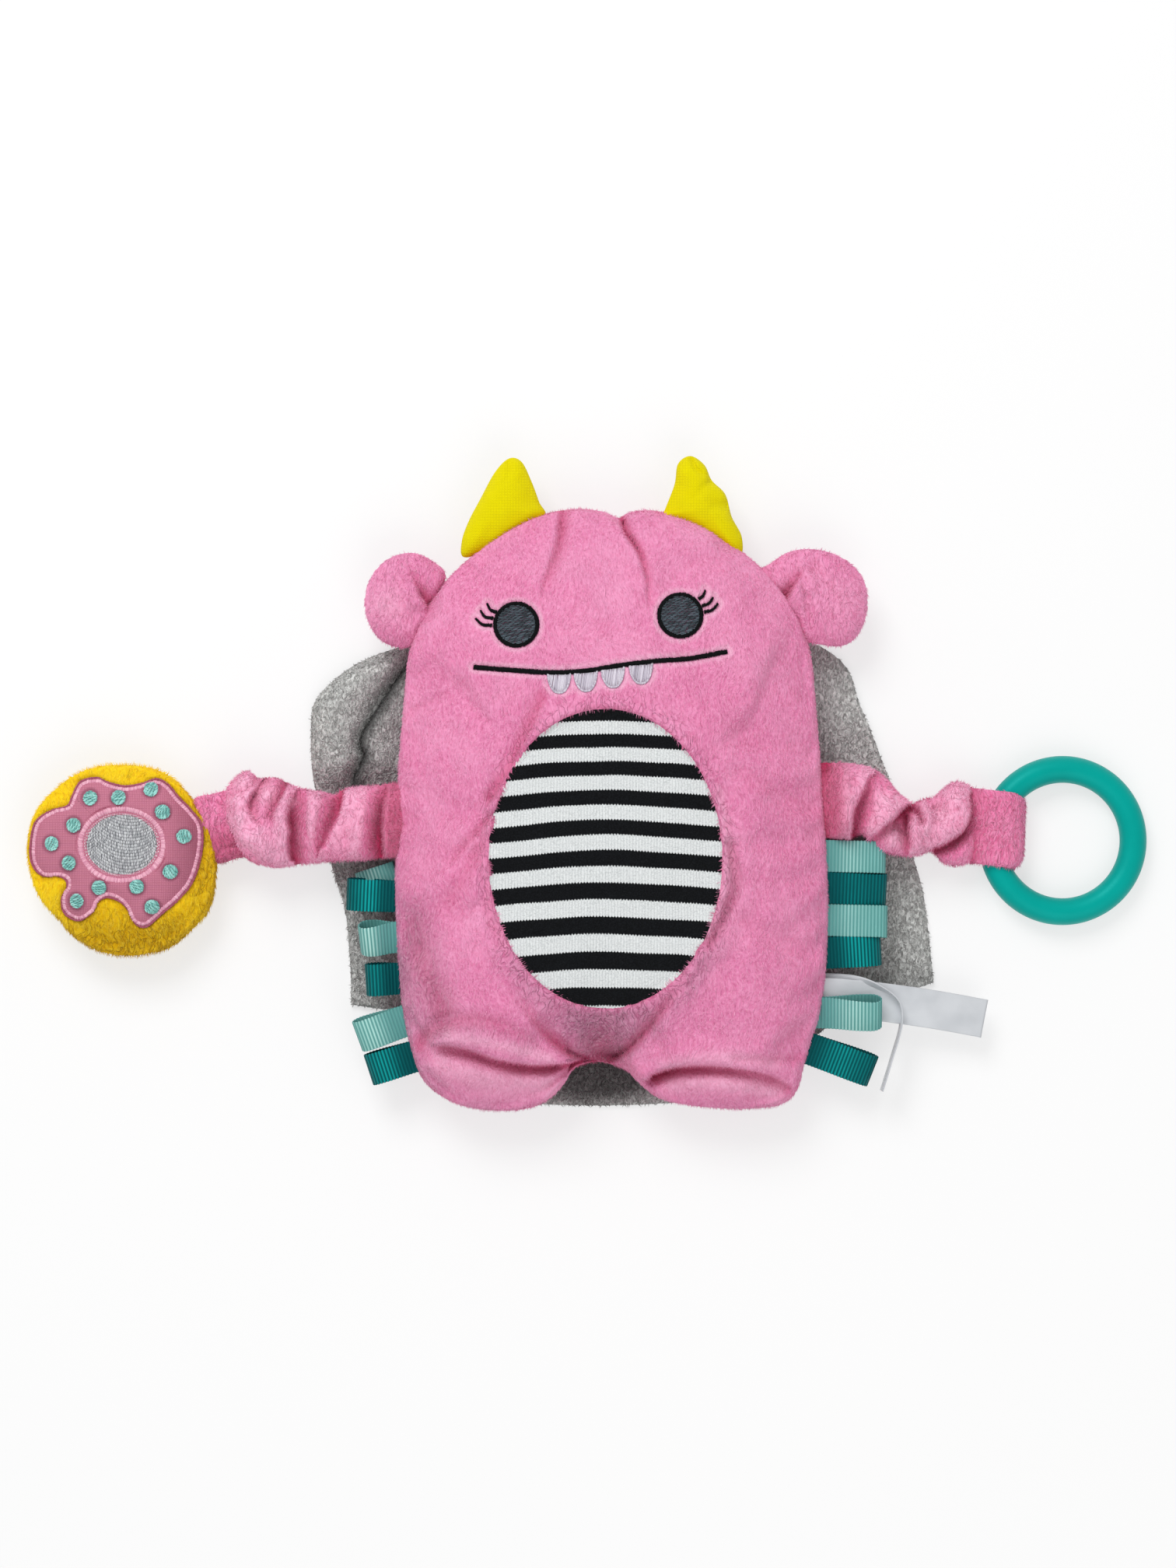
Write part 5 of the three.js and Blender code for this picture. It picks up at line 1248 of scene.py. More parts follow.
def makeFlap(name, flap, material, lumps, pileLook=None):
    shape = evenShape(seamZ=20, thickness=flap["thickness"], power=2.3, frontRings=52, backRings=30)
    rings, share, isFront = pillow(curveThrough(flap["outline"], 260, True), flap["centre"], shape)
    x, y = rings[..., 0], rings[..., 1]
    lift, paintedShade = foldHeights(x, y, flap["folds"])
    lift = addLumps(lift, rings, lumps, 40)
    rings[..., 2] += np.where(isFront, lift, -0.4 * lift) * ease(1.0, 0.9, share)
    piece = shellOf(f"{name}_skin", rings, material)
    markPiece(piece, "paintedShade", np.where(isFront, paintedShade, 0))
    markPiece(piece, "crimp", 0.3 + 0 * paintedShade)
    # painted highlight on the flap
    if "light" in flap:
        spotX, spotY, radius, strength = flap["light"]
        markPiece(piece, "pressed", strength * bell(np.hypot(x - spotX, y - spotY), radius) * isFront)
    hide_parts(name)
    for part in [piece] + ([growPile(piece, pileLook)] if pileLook else []):
        bendFlap(part)


for flapName, flap in flaps.items():
    makeFlap(flapName, flap, pinkPlush, [(12, 0.7), (2.6, 0.14), (1.4, 0.08)], earPile)
for flapName, flap in horns.items():
    makeFlap(flapName, flap, hornCloth, [(9, 0.55), (4, 0.2)])
print("ears and horns stuffed")


# Arms: gathered sleeves, from the side seam to the wrist or the band

sleeves = dict(
    doughnut_arm=dict(
        top=[(-80, 9), (-86, 11), (-93.5, 9.8), (-106.9, 8.2), (-110.7, 6.2), (-117.2, 7.5), (-126.8, 9.4),
             (-132.8, 12.4), (-138.1, 13), (-142, 12.8), (-145.7, 15.6), (-149.6, 13.8), (-154, 9)],
        bottom=[(-80, -17), (-86, -18.8), (-98.9, -19.6), (-111.8, -20.2), (-124.7, -21.6), (-134.4, -22.6),
                (-141.9, -21.2), (-147.5, -17.6), (-150.5, -12), (-154, -5.5)],
        middle=[(-80, 20), (-110, 19), (-135, 17), (-154, 15)],
        half=[(-80, 3), (-86, 5.2), (-91, 8.6), (-99, 11.5), (-110, 9), (-118, 11), (-128, 10.5), (-138, 14),
              (-148, 12), (-154, 6)],
        folds=[
            pleat([(-90.6, 9), (-91, -5), (-91.6, -20)], 7, 5.4, sharp=1.0, over=1, ends=(0.45, 1), lip=0.3),
            pleat([(-107.7, 7.5), (-108.3, 1.7), (-110.1, -3.7), (-112.4, -8.2), (-114.8, -14)], 6.8, 4.2,
                  sharp=1.0, over=1, ends=(1, 0.5)),
            pleat([(-126.6, 6), (-127.9, -2.8), (-128.1, -10), (-127.7, -20)], 7.6, 5, sharp=1.0, over=-1,
                  ends=(0.4, 1), lip=0.3),
            pleat([(-130, 12), (-131.8, 5.3), (-133.8, -1), (-134.9, -7.3)], 5, 4, sharp=0.9, over=1,
                  lip=0.4),
            pleat([(-140.3, 11), (-143.1, 5.3), (-144.1, 0.8), (-141.7, -3.7), (-136.3, -6.4)], 4.2, 4.2,
                  sharp=0.9, over=-1, lip=0.4),
            pleat([(-139, 13), (-144, 9), (-149.4, 6.7), (-154, 4.9)], 3.2, 2.6, sharp=0.9, over=1),
            pleat([(-118, 8), (-119, -6), (-119, -19)], -2.4, 3.6, lip=0, ends=(1, 0.8)),
            pleat([(-100, 8), (-101, -5), (-102, -18)], -2.2, 4.4, lip=0, ends=(1, 0.8)),
            pleat([(-150, 4), (-148, -8), (-138, -17)], -1.8, 4, lip=0, ends=(1, 1)),
        ],
        lights=[(-147, 11, 5.5), (-137, 7, 4.5), (-128, 4, 3), (-149, -4, 6)],
        parent="doughnut_arm", child="doughnut_wrist", start=(-90, -4, 20), end=(-146, -8, 15)),
    ring_arm=dict(
        top=[(80, 17), (86, 19.2), (98.8, 18.2), (106.6, 16.2), (111.4, 12.3), (116.3, 6.6), (121.7, 2.8),
             (126.1, 4.1), (131, 5.2), (135.9, 9.4), (140.7, 11.4), (146.5, 9)],
        bottom=[(80, -9), (86, -11), (96.8, -11.2), (101.2, -10), (104, -12.4), (108.5, -16), (118.3, -18.3),
                (124.1, -17.9), (129, -16.2), (131.2, -17.6), (134.4, -20.8), (139.8, -22.2), (146.5, -21)],
        middle=[(80, 20), (100, 18.5), (120, 14), (146.5, 10.5)],
        half=[(80, 3), (86, 5.2), (91, 8.6), (97, 11), (104, 9.5), (113, 11.5), (122, 8), (128, 8.5),
              (137, 10.2), (143, 9), (146.5, 5)],
        folds=[
            pleat([(86, 20), (86, 4), (86, -11)], 6, 5.2, lip=0, ends=(1, 1)),
            pleat([(105.1, 13.5), (101.6, 6.9), (99, 1.3), (98, -3.9), (98, -12)], 7, 4.4, sharp=1.0, over=-1,
                  ends=(0.5, 1)),
            pleat([(120.6, 2), (116.4, -2), (112.9, -4.8), (109.5, -7.8), (106, -11)], 6.6, 4.2, sharp=1.0,
                  over=-1, ends=(1, 0.4), lip=0.4),
            pleat([(119.3, -2.2), (119.1, -8.3), (119.8, -15)], 5, 3.6, sharp=0.9, over=1, ends=(1, 0.5),
                  lip=0.4),
            pleat([(122.8, 2.4), (124.6, -1.3), (125.1, -4.6)], 4.6, 1.5, ends=(1, 0.6)),
            pleat([(130.6, 1.7), (136, 0)], 2.2, 2.6),
            pleat([(145.6, 6), (146, 0), (143.7, -6.5), (139.4, -11.3), (131, -15.8)], 5.6, 3.4, sharp=1.0,
                  over=-1, ends=(0.7, 1), lip=0.4),
            pleat([(128, 4.4), (126.6, -2)], 1.8, 1.2),
            pleat([(110, 11), (113, 4), (117, 0)], 1.4, 2),
            pleat([(93, 16), (92.6, 2), (93, -10)], -1.8, 2.6, lip=0, ends=(1, 1)),
            pleat([(108, 11), (107, 2), (103.6, -6)], -2, 3, lip=0, ends=(1, 0.6)),
            pleat([(128, 1), (126, -8), (123, -15)], -1.8, 2.8, lip=0, ends=(0.8, 1)),
            pleat([(138, 8), (139, 0), (134, -8)], -1.8, 3.2, lip=0, ends=(1, 0.8)),
        ],
        lights=[(134, -2, 7), (127, -8, 5), (114, -11, 5), (110, 4, 4), (139, 5, 4)],
        parent="ring_arm", child="ring_band", start=(92, 4, 20), end=(141, -12, 8.5)),
)
sleeveGrid = dict(along=190, around=150)
sleeveRoot = dict(x=86, span=(14, 2), shade=0.55)  # painted shade where the sleeve goes under the body's edge
sleevePile = dict(density=1.3, length=1.6, thickness=0.28, lean=-0.5, swirl=2.4, stray=0.35, seed=4)


def makeSleeve(name, arm):
    first, last = arm["top"][0][0], arm["top"][-1][0]
    x = first + (last - first) * np.linspace(0, 1, sleeveGrid["along"])
    order = np.sign(last - first)
    edges = {}
    for key in ("top", "bottom", "middle", "half"):
        line = curveThrough(arm[key], 300)
        edges[key] = np.interp(order * x, order * line[:, 0], line[:, 1])
    angle = circle(sleeveGrid["around"])
    across = np.cos(angle)
    up = np.sign(np.sin(angle)) * np.abs(np.sin(angle)) ** 0.8
    y = (edges["top"] + edges["bottom"])[:, None] / 2 + (edges["top"] - edges["bottom"])[:, None] / 2 * across
    z = edges["middle"][:, None] + edges["half"][:, None] * up
    rings = np.stack([np.broadcast_to(x[:, None], y.shape), y, z], -1)
    sway = 0.9 * softNoise(rings * (1, 1, 0.4), 9, 63) + 0.5 * softNoise(rings, 4, 64)  # gathers wander
    lift, paintedShade = foldHeights(rings[..., 0] + sway, y + 0.8 * sway, arm["folds"])
    uneven = 1 + 0.35 * softNoise(rings * (0.5, 1, 1), 11, 65)  # and differ in depth
    lift, paintedShade = 1.25 * lift * uneven, np.clip(paintedShade * uneven, 0, 1)
    waves = np.sin(rings[..., 0] * 0.62 + 1.2 * softNoise(rings * (0.4, 1, 0), 9, 61))
    lift = lift + 0.5 * waves * bell(across, 0.8)
    crestHighlight = ease(-0.4, 2.0, lift)
    lift = np.maximum(lift, -0.66 * edges["half"][:, None])
    lift = addLumps(lift, rings, [(9, 1.0), (2.6, 0.16), (1.5, 0.1)], 70)
    onTop = np.sin(angle) >= 0
    rings[..., 2] += lift * np.abs(np.sin(angle)) ** 0.6 * np.where(onTop, 1.0, -0.5)
    fromRoot = np.abs(rings[..., 0]) - sleeveRoot["x"]
    paintedShade = np.maximum(paintedShade, sleeveRoot["shade"] * ease(*sleeveRoot["span"], fromRoot))
    spots = [bell(np.hypot(rings[..., 0] - spotX, y - spotY), size) for spotX, spotY, size in arm["lights"]]
    glow = np.max(spots, axis=0)  # painted highlights on the puffs
    paintedShade = paintedShade * (1 - 0.7 * glow)
    piece = shellOf(f"{name}_skin", rings, sleevePlush)
    markPiece(piece, "paintedShade", np.where(onTop, paintedShade, 0.3 * paintedShade))
    # painted highlight on the crests and puffs
    markPiece(piece, "pressed", np.where(onTop, np.maximum(0.55 * crestHighlight * (1 - paintedShade), 0.75 * glow), 0))
    markPiece(piece, "crimp", 0.36 + 0 * paintedShade)
    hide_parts(f"{name}_sleeve")
    for part in (piece, growPile(piece, sleevePile)):
        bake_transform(part)


for armName, arm in sleeves.items():
    makeSleeve(armName, arm)
print("sleeves gathered")


# Elastic inside each sleeve, drawn up into ribs
elastic = dict(width=6, thickness=1.2, pitch=1.4, depth=0.35, z=20)


def makeElastic(name, arm):
    low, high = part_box(f"{name}_elastic")
    first, last = (high, low) if arm["end"][0] < 0 else (low, high)
    way = np.linspace(0, 1, 40)[:, None]
    start = np.array([first[0], arm["start"][1] * mm, elastic["z"] * mm]) / mm
    points = start + way * (np.array([last[0] / mm, arm["end"][1], arm["end"][2]]) - start)
    marks = {"across": np.tile((0.0, 1.0, 0.0), (len(points), 1))}
    piece = weaveRibbon(f"{name}_web", points, elastic, elasticWeb, marks)
    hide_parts(f"{name}_elastic")
    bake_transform(piece)


for armName, arm in sleeves.items():
    makeElastic(armName, arm)


# Wrist: the flat end of the sleeve that goes behind the doughnut
wrist = dict(
    outline=[(-146, -16), (-146, 6), (-151, 8.6), (-160, 6.6), (-168, 4), (-170, -8), (-166, -20),
             (-158, -21.4), (-151, -19.5)],
    centre=(-157, -7), thickness=4.6, start=(-151, -7, 15), end=(-163, -11, 15),
    shade=dict(least=0.08, more=0.5, y=(-3, -13)),  # painted shade, darker towards its lower corner
    folds=[pleat([(-146, 2), (-153, -4), (-160, -8)], 2.2, 2),
           pleat([(-148, -14), (-154, -15), (-160, -19)], 2, 1.8, over=1),
           pleat([(-152, 8), (-156, 2), (-161, -2)], 1.5, 1.6)],
)


def makeWrist():
    shape = evenShape(seamZ=15, thickness=wrist["thickness"], power=3, frontRings=40, backRings=20)
    rings, share, isFront = pillow(curveThrough(wrist["outline"], 200, True), wrist["centre"], shape)
    lift, paintedShade = foldHeights(rings[..., 0], rings[..., 1], wrist["folds"])
    lift = lift + 0.3 * softNoise(rings, 3, 90)
    rings[..., 2] += np.where(isFront, lift, -0.3 * lift) * ease(1.0, 0.9, share)
    piece = shellOf("wrist_skin", rings, sleevePlush)
    shade = wrist["shade"]
    low = shade["least"] + shade["more"] * ease(*shade["y"], rings[..., 1])
    markPiece(piece, "paintedShade", np.where(isFront, np.maximum(paintedShade, low), 0.2))
    markPiece(piece, "crimp", 0.5 + 0 * paintedShade)
    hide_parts("doughnut_wrist")
    for part in (piece, growPile(piece, sleevePile)):
        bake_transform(part)


makeWrist()
print("elastic and wrist in place")


# Doughnut: a round cushion with sewn-on icing

doughnut = dict(
    outline=[(-198, 18.2), (-206.5, 17.4), (-215, 14.2), (-222.6, 8.6), (-228.5, 3), (-232.3, -3.6),
             (-234, -11), (-234.3, -17.4), (-233.2, -24), (-231, -31.2), (-226.9, -38), (-221.5, -44.4),
             (-217, -49.4), (-210.8, -54.3), (-203.2, -57.2), (-193.6, -58.2), (-185, -57.4), (-177.4, -55.2),
             (-171.6, -51), (-166.4, -46), (-162, -41), (-159.8, -34.6), (-158.7, -26), (-158.5, -19.4),
             (-159.8, -11), (-162.3, -4.4), (-166.2, 1.2), (-170, 6.6), (-175.5, 12.4), (-182.8, 16.3),
             (-190.3, 17.8)],
    centre=(-195.6, -18),
    shape=dict(seamZ=15, front=14.2, back=14.6, frontPower=2.6, frontEdge=0.52, backPower=3, backEdge=0.5,
               frontRings=72, backRings=36),
    cloth=dict(every=3, pressure=4.0, slack=0.04, stiffness=14, bending=0.5, cap=1.6, back=0.2),
    icing=[(-214.5, 5.2), (-211.8, 10.4), (-205.6, 11.8), (-201.4, 10), (-194.6, 8.4), (-188.2, 9.4),
           (-182.8, 11.4), (-178.4, 9.4), (-174, 4.2), (-168.8, -1.2), (-165.2, -7), (-165.4, -17.4),
           (-168.6, -28), (-174, -34.8), (-180, -40), (-186, -45.2), (-190.2, -44), (-192.5, -39),
           (-195.7, -35.2), (-201, -33.4), (-205.4, -35.8), (-207.6, -40), (-213, -43), (-218.2, -40),
           (-218.8, -34.6), (-216.4, -30.4), (-216.8, -27), (-220.5, -25.4), (-227, -25.4), (-231, -20.4),
           (-231.2, -12), (-229, -4.6), (-222.6, -0.6), (-216.4, 1)],
    middle=dict(x=-195.3, y=-13.7, wide=15.6, tall=13.3),
    dots=[(-208.1, 5), (-196.7, 5.2), (-184, 8.5), (-179.1, -0.6), (-170.5, -10.4), (-175.8, -24.5),
          (-183.1, -38.6), (-189.1, -30.4), (-204.3, -30.8), (-213.4, -36.2), (-216.5, -21), (-223.6, -13.3),
          (-214.6, -5.9)],
    dotRadius=2.9,
    groove=dict(depth=1.3, width=2.2),  # in the skin, along the icing's edge
    dip=1.5,  # in the skin, under the middle
    cover=dict(columns=300, rows=40, thickness=0.9, lift=0.75, lumps=0.35, shadeX=(-181, -165), shade=0.7),
    lumps=[(14, 0.7), (3.4, 0.3), (1.6, 0.16)],
    shade=dict(top=-30, bottom=-54, low=0.75, left=-176, right=-161, side=0.6),
    pile=dict(density=1.2, length=1.9, thickness=0.26, lean=-0.9, swirl=1.6, stray=0.3, seed=6),
)


def icingReach(x, y):  # from the middle to the icing's edge, in the direction of each point
    middle = doughnut["middle"]
    edge = curveThrough(doughnut["icing"], 360, True) - np.array((middle["x"], middle["y"]))
    angle = np.arctan2(edge[:, 1], edge[:, 0])
    order = np.argsort(angle)
    towards = np.arctan2(y - middle["y"], x - middle["x"])
    return np.interp(towards, angle[order], np.linalg.norm(edge, axis=1)[order], period=2 * math.pi)


def makeDoughnut():
    outline = curveThrough(doughnut["outline"], 360, True)
    rings, share, isFront = pillow(outline, doughnut["centre"], doughnut["shape"])
    swell = np.where(isFront, 1.0, doughnut["cloth"]["back"])[..., None]
    rings = rings + inflate(rings, seamPins(share), doughnut["cloth"]) * swell
    x, y = rings[..., 0], rings[..., 1]
    edge = curveThrough(doughnut["icing"], 120, True)
    distance = nearPath(x, y, np.append(edge, doughnut["icing"][:1], 0))[0]
    middle = doughnut["middle"]
    hole = np.hypot((x - middle["x"]) / middle["wide"], (y - middle["y"]) / middle["tall"])
    groove = doughnut["groove"]
    lift = -groove["depth"] * bell(distance, groove["width"]) - doughnut["dip"] * ease(1.25, 0.9, hole)
    lift = addLumps(lift, rings * (1, 0.6, 1), doughnut["lumps"], 100, ease(0.5, 3, distance))
    rings[..., 2] += np.where(isFront, lift, 0.3 * softNoise(rings, 5, 111)) * ease(1.0, 0.93, share)
    rings[..., 2] = np.maximum(rings[..., 2], 0.2)
    piece = shellOf("doughnut_skin", rings, yellowPlush)
    # painted shade along the icing's edge
    markPiece(piece, "paintedShade", np.where(isFront, 0.6 * bell(distance, 2.0), 0))
    # painted shade, darker towards the bottom and the wrist side
    dim = doughnut["shade"]
    low = dim["low"] * ease(dim["top"], dim["bottom"], y)
    side = dim["side"] * ease(dim["left"], dim["right"], x)
    nap = np.maximum(low, side)
    markPiece(piece, "nap", np.where(isFront, nap, 0))
    markPiece(piece, "crimp", 0.1 + 0.5 * nap)
    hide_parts("doughnut_front", "doughnut_back", "doughnut_stuffing")
    out = np.linalg.norm(rings[..., :2] - np.array((middle["x"], middle["y"])), axis=-1)
    bare = np.where(isFront, ease(1.2, -0.6, out - icingReach(x, y)), 0.4)
    for part in (piece, growPile(piece, doughnut["pile"], bare)):
        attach(part, "doughnut")
    print("doughnut stuffed")
    return surfaceOf(piece)


def middleOval(more, count=64):  # round the doughnut's middle, wider by so much
    middle = doughnut["middle"]
    return ovalOutline(middle["x"], middle["y"], middle["wide"] + more, middle["tall"] + more, count)


def makeIcing(surface):
    middle = doughnut["middle"]
    cover = doughnut["cover"]
    outer = curveThrough(doughnut["icing"], cover["columns"], True)
    centre = np.array((middle["x"], middle["y"]))
    angle = np.arctan2(outer[:, 1] - centre[1], outer[:, 0] - centre[0])
    reach = 1 / np.hypot(np.cos(angle) / middle["wide"], np.sin(angle) / middle["tall"])
    inner = centre + np.stack([np.cos(angle), np.sin(angle)], 1) * (0.9 * reach)[:, None]
    way = np.linspace(0, 1, cover["rows"])[:, None, None]
    flat = inner + way * (outer - inner)
    flat = np.concatenate([flat, flat[:, :1]], 1)
    z = heightsOn(surface, flat, 15)
    lumps = softNoise(withHeight(flat, z), 7, 120)
    z = z + cover["lift"] + cover["lumps"] * lumps * np.sin(math.pi * way[..., 0])
    piece = slabOf("icing_cloth", withHeight(flat, z), cover["thickness"], icingCloth)
    near = [np.hypot(flat[..., 0] - dotX, flat[..., 1] - dotY) for dotX, dotY in doughnut["dots"]]
    # painted shade round each dot
    dotShade = bell(np.min(near, axis=0) - doughnut["dotRadius"] - 0.3, 0.7)
    turned = cover["shade"] * ease(*cover["shadeX"], flat[..., 0])  # painted shade where it turns down by the wrist
    markPiece(piece, "paintedShade", np.tile(np.maximum(dotShade, turned), (2, 1)))
    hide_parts("doughnut_icing")
    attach(piece, "doughnut")
    look = dict(thread=0.5, lift=0.7, rise=0.9, material=pinkThread)
    oval = middleOval(1.0, 80)
    border = [satinLine(doughnut["icing"], 1.8, 0.36, True), satinLine(oval, 2.5, 0.36, True, seed=4)]
    sewPart("icing_border", surface, np.concatenate(border), look, "doughnut_icing_border", "doughnut")
    # dark stitches just outside both pink borders, as painted shadow
    away = np.array(doughnut["icing"]) - centre
    hem = centre + away * (1 + 1.3 / lengths(away))
    brim = middleOval(2.7, 80)
    shadowEdging = [satinLine(hem, 0.9, 0.4, True, seed=6), satinLine(brim, 0.7, 0.4, True, seed=7)]
    sewPart("icing_painted_shadow", surface, np.concatenate(shadowEdging),
            dict(thread=0.45, lift=0.3, rise=0.95, material=paintedShadowThread), None, "doughnut")
    oval = middleOval(-0.4)
    spread = np.linspace(0.02, 1, 24)[:, None, None]
    flat = centre + spread * (np.append(oval, oval[:1], 0) - centre)
    cloth = slabOf("middle_cloth", withHeight(flat, heightsOn(surface, flat, 15) + 0.45), 0.5, middleCloth)
    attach(cloth, "doughnut")
    fill = satinFill(oval, 0.62, 86, 1.25, 8, 0.07)
    sewPart("doughnut_middle", surface, fill, dict(thread=0.5, lift=0.5, rise=0.8, material=middleThread),
            "doughnut_centre", "doughnut")
    radius = doughnut["dotRadius"]
    dots = [satinFill(ovalOutline(x, y, radius, radius, 40), 0.42, 20 * k, 2.6, k)
            for k, (x, y) in enumerate(doughnut["dots"])]
    sewPart("icing_dots", surface, np.concatenate(dots),
            dict(thread=0.58, lift=0.75, rise=1.35, material=mintThread), None, "doughnut")
    print("icing sewn on")


makeIcing(makeDoughnut())


# Grab ring and the plush band round it

ring = dict(x=183.5, y=-12.3, z=6.95, radius=28.8, tube=5.45, tilt=2.99, around=160, across=40)
band = dict(tubeX=154.74, z=8.45, fold=5.2, bore=5.95, thickness=2.0, neckX=142.4, neck=3.6, y=-7.0,
            width=30.4, around=150, across=60)


def makeRing():
    turn = circle(ring["around"])[:, None]
    around = circle(ring["across"])
    seam = 1 + 0.006 * bell(around, 0.12)  # faint line where the two halves of the mould met
    out = ring["radius"] + ring["tube"] * np.cos(around) * seam
    x, y, z = out * np.cos(turn), out * np.sin(turn), ring["tube"] * np.sin(around) + 0 * turn
    tilt = math.radians(ring["tilt"])
    points = np.stack([ring["x"] + x * math.cos(tilt) + z * math.sin(tilt), ring["y"] + y,
                       ring["z"] + z * math.cos(tilt) - x * math.sin(tilt)], -1)
    rows, columns = points.shape[:2]
    k = np.arange(rows * columns).reshape(rows, columns)
    a, b = np.roll(k, -1, 0), np.roll(k, -1, 1)
    faces = np.stack([k, a, np.roll(a, -1, 1), b], -1).reshape(-1, 4).tolist()
    piece = makePiece("grab_ring_body", points.reshape(-1, 3), faces, ringPlastic)
    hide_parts("grab_ring")
    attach(piece, "grab_ring")


def makeBand():
    outer = band["bore"] + band["thickness"] / 2
    bend = np.linspace(-math.pi / 2, math.pi / 2, 24)
    foldX = band["tubeX"] + band["fold"]
    low = [(band["neckX"], -band["neck"]), (band["neckX"] + 4, -band["neck"] - 0.8),
           (band["tubeX"] - 2, -outer)]
    loop = low + [(foldX + outer * math.cos(t), outer * math.sin(t)) for t in bend]
    loop += [(x, -z) for x, z in low[::-1]]
    path = curveThrough(loop, band["around"])
    across = np.linspace(-0.5, 0.5, band["across"])
    x = path[:, :1] + 0 * across
    y = band["y"] + 0 * path[:, :1] + band["width"] * across
    y = y - 0.1 * (x - band["tubeX"])
    x = x + (1.3 * across - 2.8 * np.abs(2 * across) ** 8) * ease(band["neckX"], foldX + outer, x)
    z = band["z"] + path[:, 1:] + 0 * across
    points = np.stack([x, y, z], -1)
    rim = 0.5 * bell(np.abs(across) - 0.5, 0.06) * np.sign(path[:, 1:])
    points[..., 2] += 0.3 * softNoise(points, 6, 130) - rim
    soft = band["thickness"] * (0.12 + 0.88 * (1 - np.abs(2 * across) ** 6) ** 0.5) + 0 * path[:, :1]
    piece = slabOf("band_loop", points, soft, sleevePlush)
    markPiece(piece, "crimp", np.full(2 * soft.size, 0.38))
    # painted shade over the whole band, most where it meets the sleeve
    markPiece(piece, "paintedShade", np.tile(0.12 + 0.5 * bell(x - band["neckX"] - 1, 6), (2, 1)))
    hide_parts("ring_band")
    for part in (piece, growPile(piece, sleevePile)):
        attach(part, "ring_band")


makeRing()
makeBand()
print("ring and band set")


# Ribbon loops in both side seams, alternately pale and deep

def loopOf(y, length, droop, yaw, roll, lit, glow, level=20.0):  # angles in degrees
    return dict(y=y, length=length, droop=droop, yaw=yaw, roll=roll, lit=lit, glow=glow, level=level)


ribbons = dict(
    width=12.8, thickness=0.6, pitch=1.4, depth=0.24, fold=3.8, nose=4.4, root=2.0,
    right=[
        loopOf(-18.2, 24, 8, -2, -4, 0.4, 0.45),
        loopOf(-31, 24, 10, -2, 5, 0.45, 0.15),
        loopOf(-44, 24, 7, -2, -5, 0.35, 0.3),
        loopOf(-57.4, 22.2, 10, 4, 6, 0.6, 0.95),
        loopOf(-81.2, 24.6, -3, 0, 26, 0.6, 0.7),
        loopOf(-95, 28, 11, -20, 6, 0.5, 0.6),
    ],
    left=[
        loopOf(-26.5, 15, 20, 19, -4, 0.4, 1.0, 16),
        loopOf(-34.6, 18, 6, -3, 5, 0.5, 1.2),
        loopOf(-51, 13, 5, 2, 30, 0.7, 1.0),
        loopOf(-67.6, 11.7, 9, 2, 6, 0.6, 0.5),
        loopOf(-84.4, 18.8, 6, 18, 12, 0.7, 0.7),
        loopOf(-98.4, 19, 11, 17, 4, 0.65, 0.8),
    ],
)


def sideSeamX(y):
    outline = curveThrough(body["outline"], 400, True)
    right = outline[(outline[:, 0] > 40) & (outline[:, 1] < 60)]  # below the ear
    right = right[np.argsort(right[:, 1])]
    return float(np.interp(y, right[:, 1], right[:, 0]))


def makeRibbon(side, number, loop):
    sign = 1 if side == "right" else -1
    length, fold, nose = loop["length"] + ribbons["root"], ribbons["fold"], ribbons["nose"]
    out = np.linspace(0, length - nose, 18)
    gap = 0.5 + (fold - 0.5) * ease(0.05, 0.85, out / (length - nose))
    turn = np.linspace(-math.pi / 2, math.pi / 2, 17)[1:-1]
    tip = np.stack([length - nose + nose * np.cos(turn), fold * np.sin(turn)], 1)
    path = np.concatenate([np.stack([out, -gap], 1), tip, np.stack([out[::-1], gap[::-1]], 1)])
    droop, yaw, roll = (math.radians(loop[key]) for key in ("droop", "yaw", "roll"))
    forward = sign * np.array((math.cos(yaw) * math.cos(droop), math.sin(yaw) * math.cos(droop), 0))
    forward[2] = -math.sin(droop)
    flat = np.cross((0, 0, 1), forward)
    flat /= np.linalg.norm(flat)
    rise = np.cross(forward, flat)
    twist = roll * (0.3 + 0.7 * path[:, :1] / length)  # flat in the seam, turned most at its tip
    across = flat * np.cos(twist) * sign + rise * np.sin(twist)
    up = rise * np.cos(twist) - flat * np.sin(twist) * sign
    # painted shade at the root, the tip and on the lower leaf, and a painted highlight along the upper leaf
    shaded = ease(11, 4, path[:, 0]) * 0.8 + 0.7 * ease(length - 1.6, length - 0.2, path[:, 0])
    shaded = np.where(path[:, 1] < 0, 0.6, np.minimum(shaded, 1))
    lit = np.where(path[:, 1] < 0, 0, loop["glow"] * bell(path[:, 0] / length - loop["lit"], 0.24))
    start = np.array((sign * (sideSeamX(loop["y"]) - ribbons["root"]), loop["y"], loop["level"]))
    points = start + path[:, :1] * forward + path[:, 1:] * up
    material = paleRibbon if number % 2 else deepRibbon
    name = f"{side}_ribbon_{number}"
    piece = weaveRibbon(f"{name}_loop", points, ribbons, material,
                        {"across": across, "shaded": shaded, "lit": lit})
    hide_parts(name)
    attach(piece, name)


for side in ("right", "left"):
    for number, loop in enumerate(ribbons[side], 1):
        makeRibbon(side, number, loop)
print("ribbons looped")


# Side tag: a blank satin strip, one leaf flat and one on its edge

tag = dict(
    width=15.5, thickness=0.5, steps=90, rows=26,
    flat=[(80, -75, 19.4), (92, -75.4, 18), (112, -77.6, 15), (132, -80.6, 12.8), (151.4, -84.2, 11.4)],
    edge=[(81, -69.5, 16.4), (96, -70, 16.2), (108, -72, 15.8), (116, -76.5, 15.4), (117.4, -86, 15.2),
          (113.6, -100, 15.2), (109.6, -113, 15.2)],
    edgeWidth=8, length=72.5, edgeLength=76, edgeFlat=10, edgeSteps=120, edgeRows=12, stand=88,
)


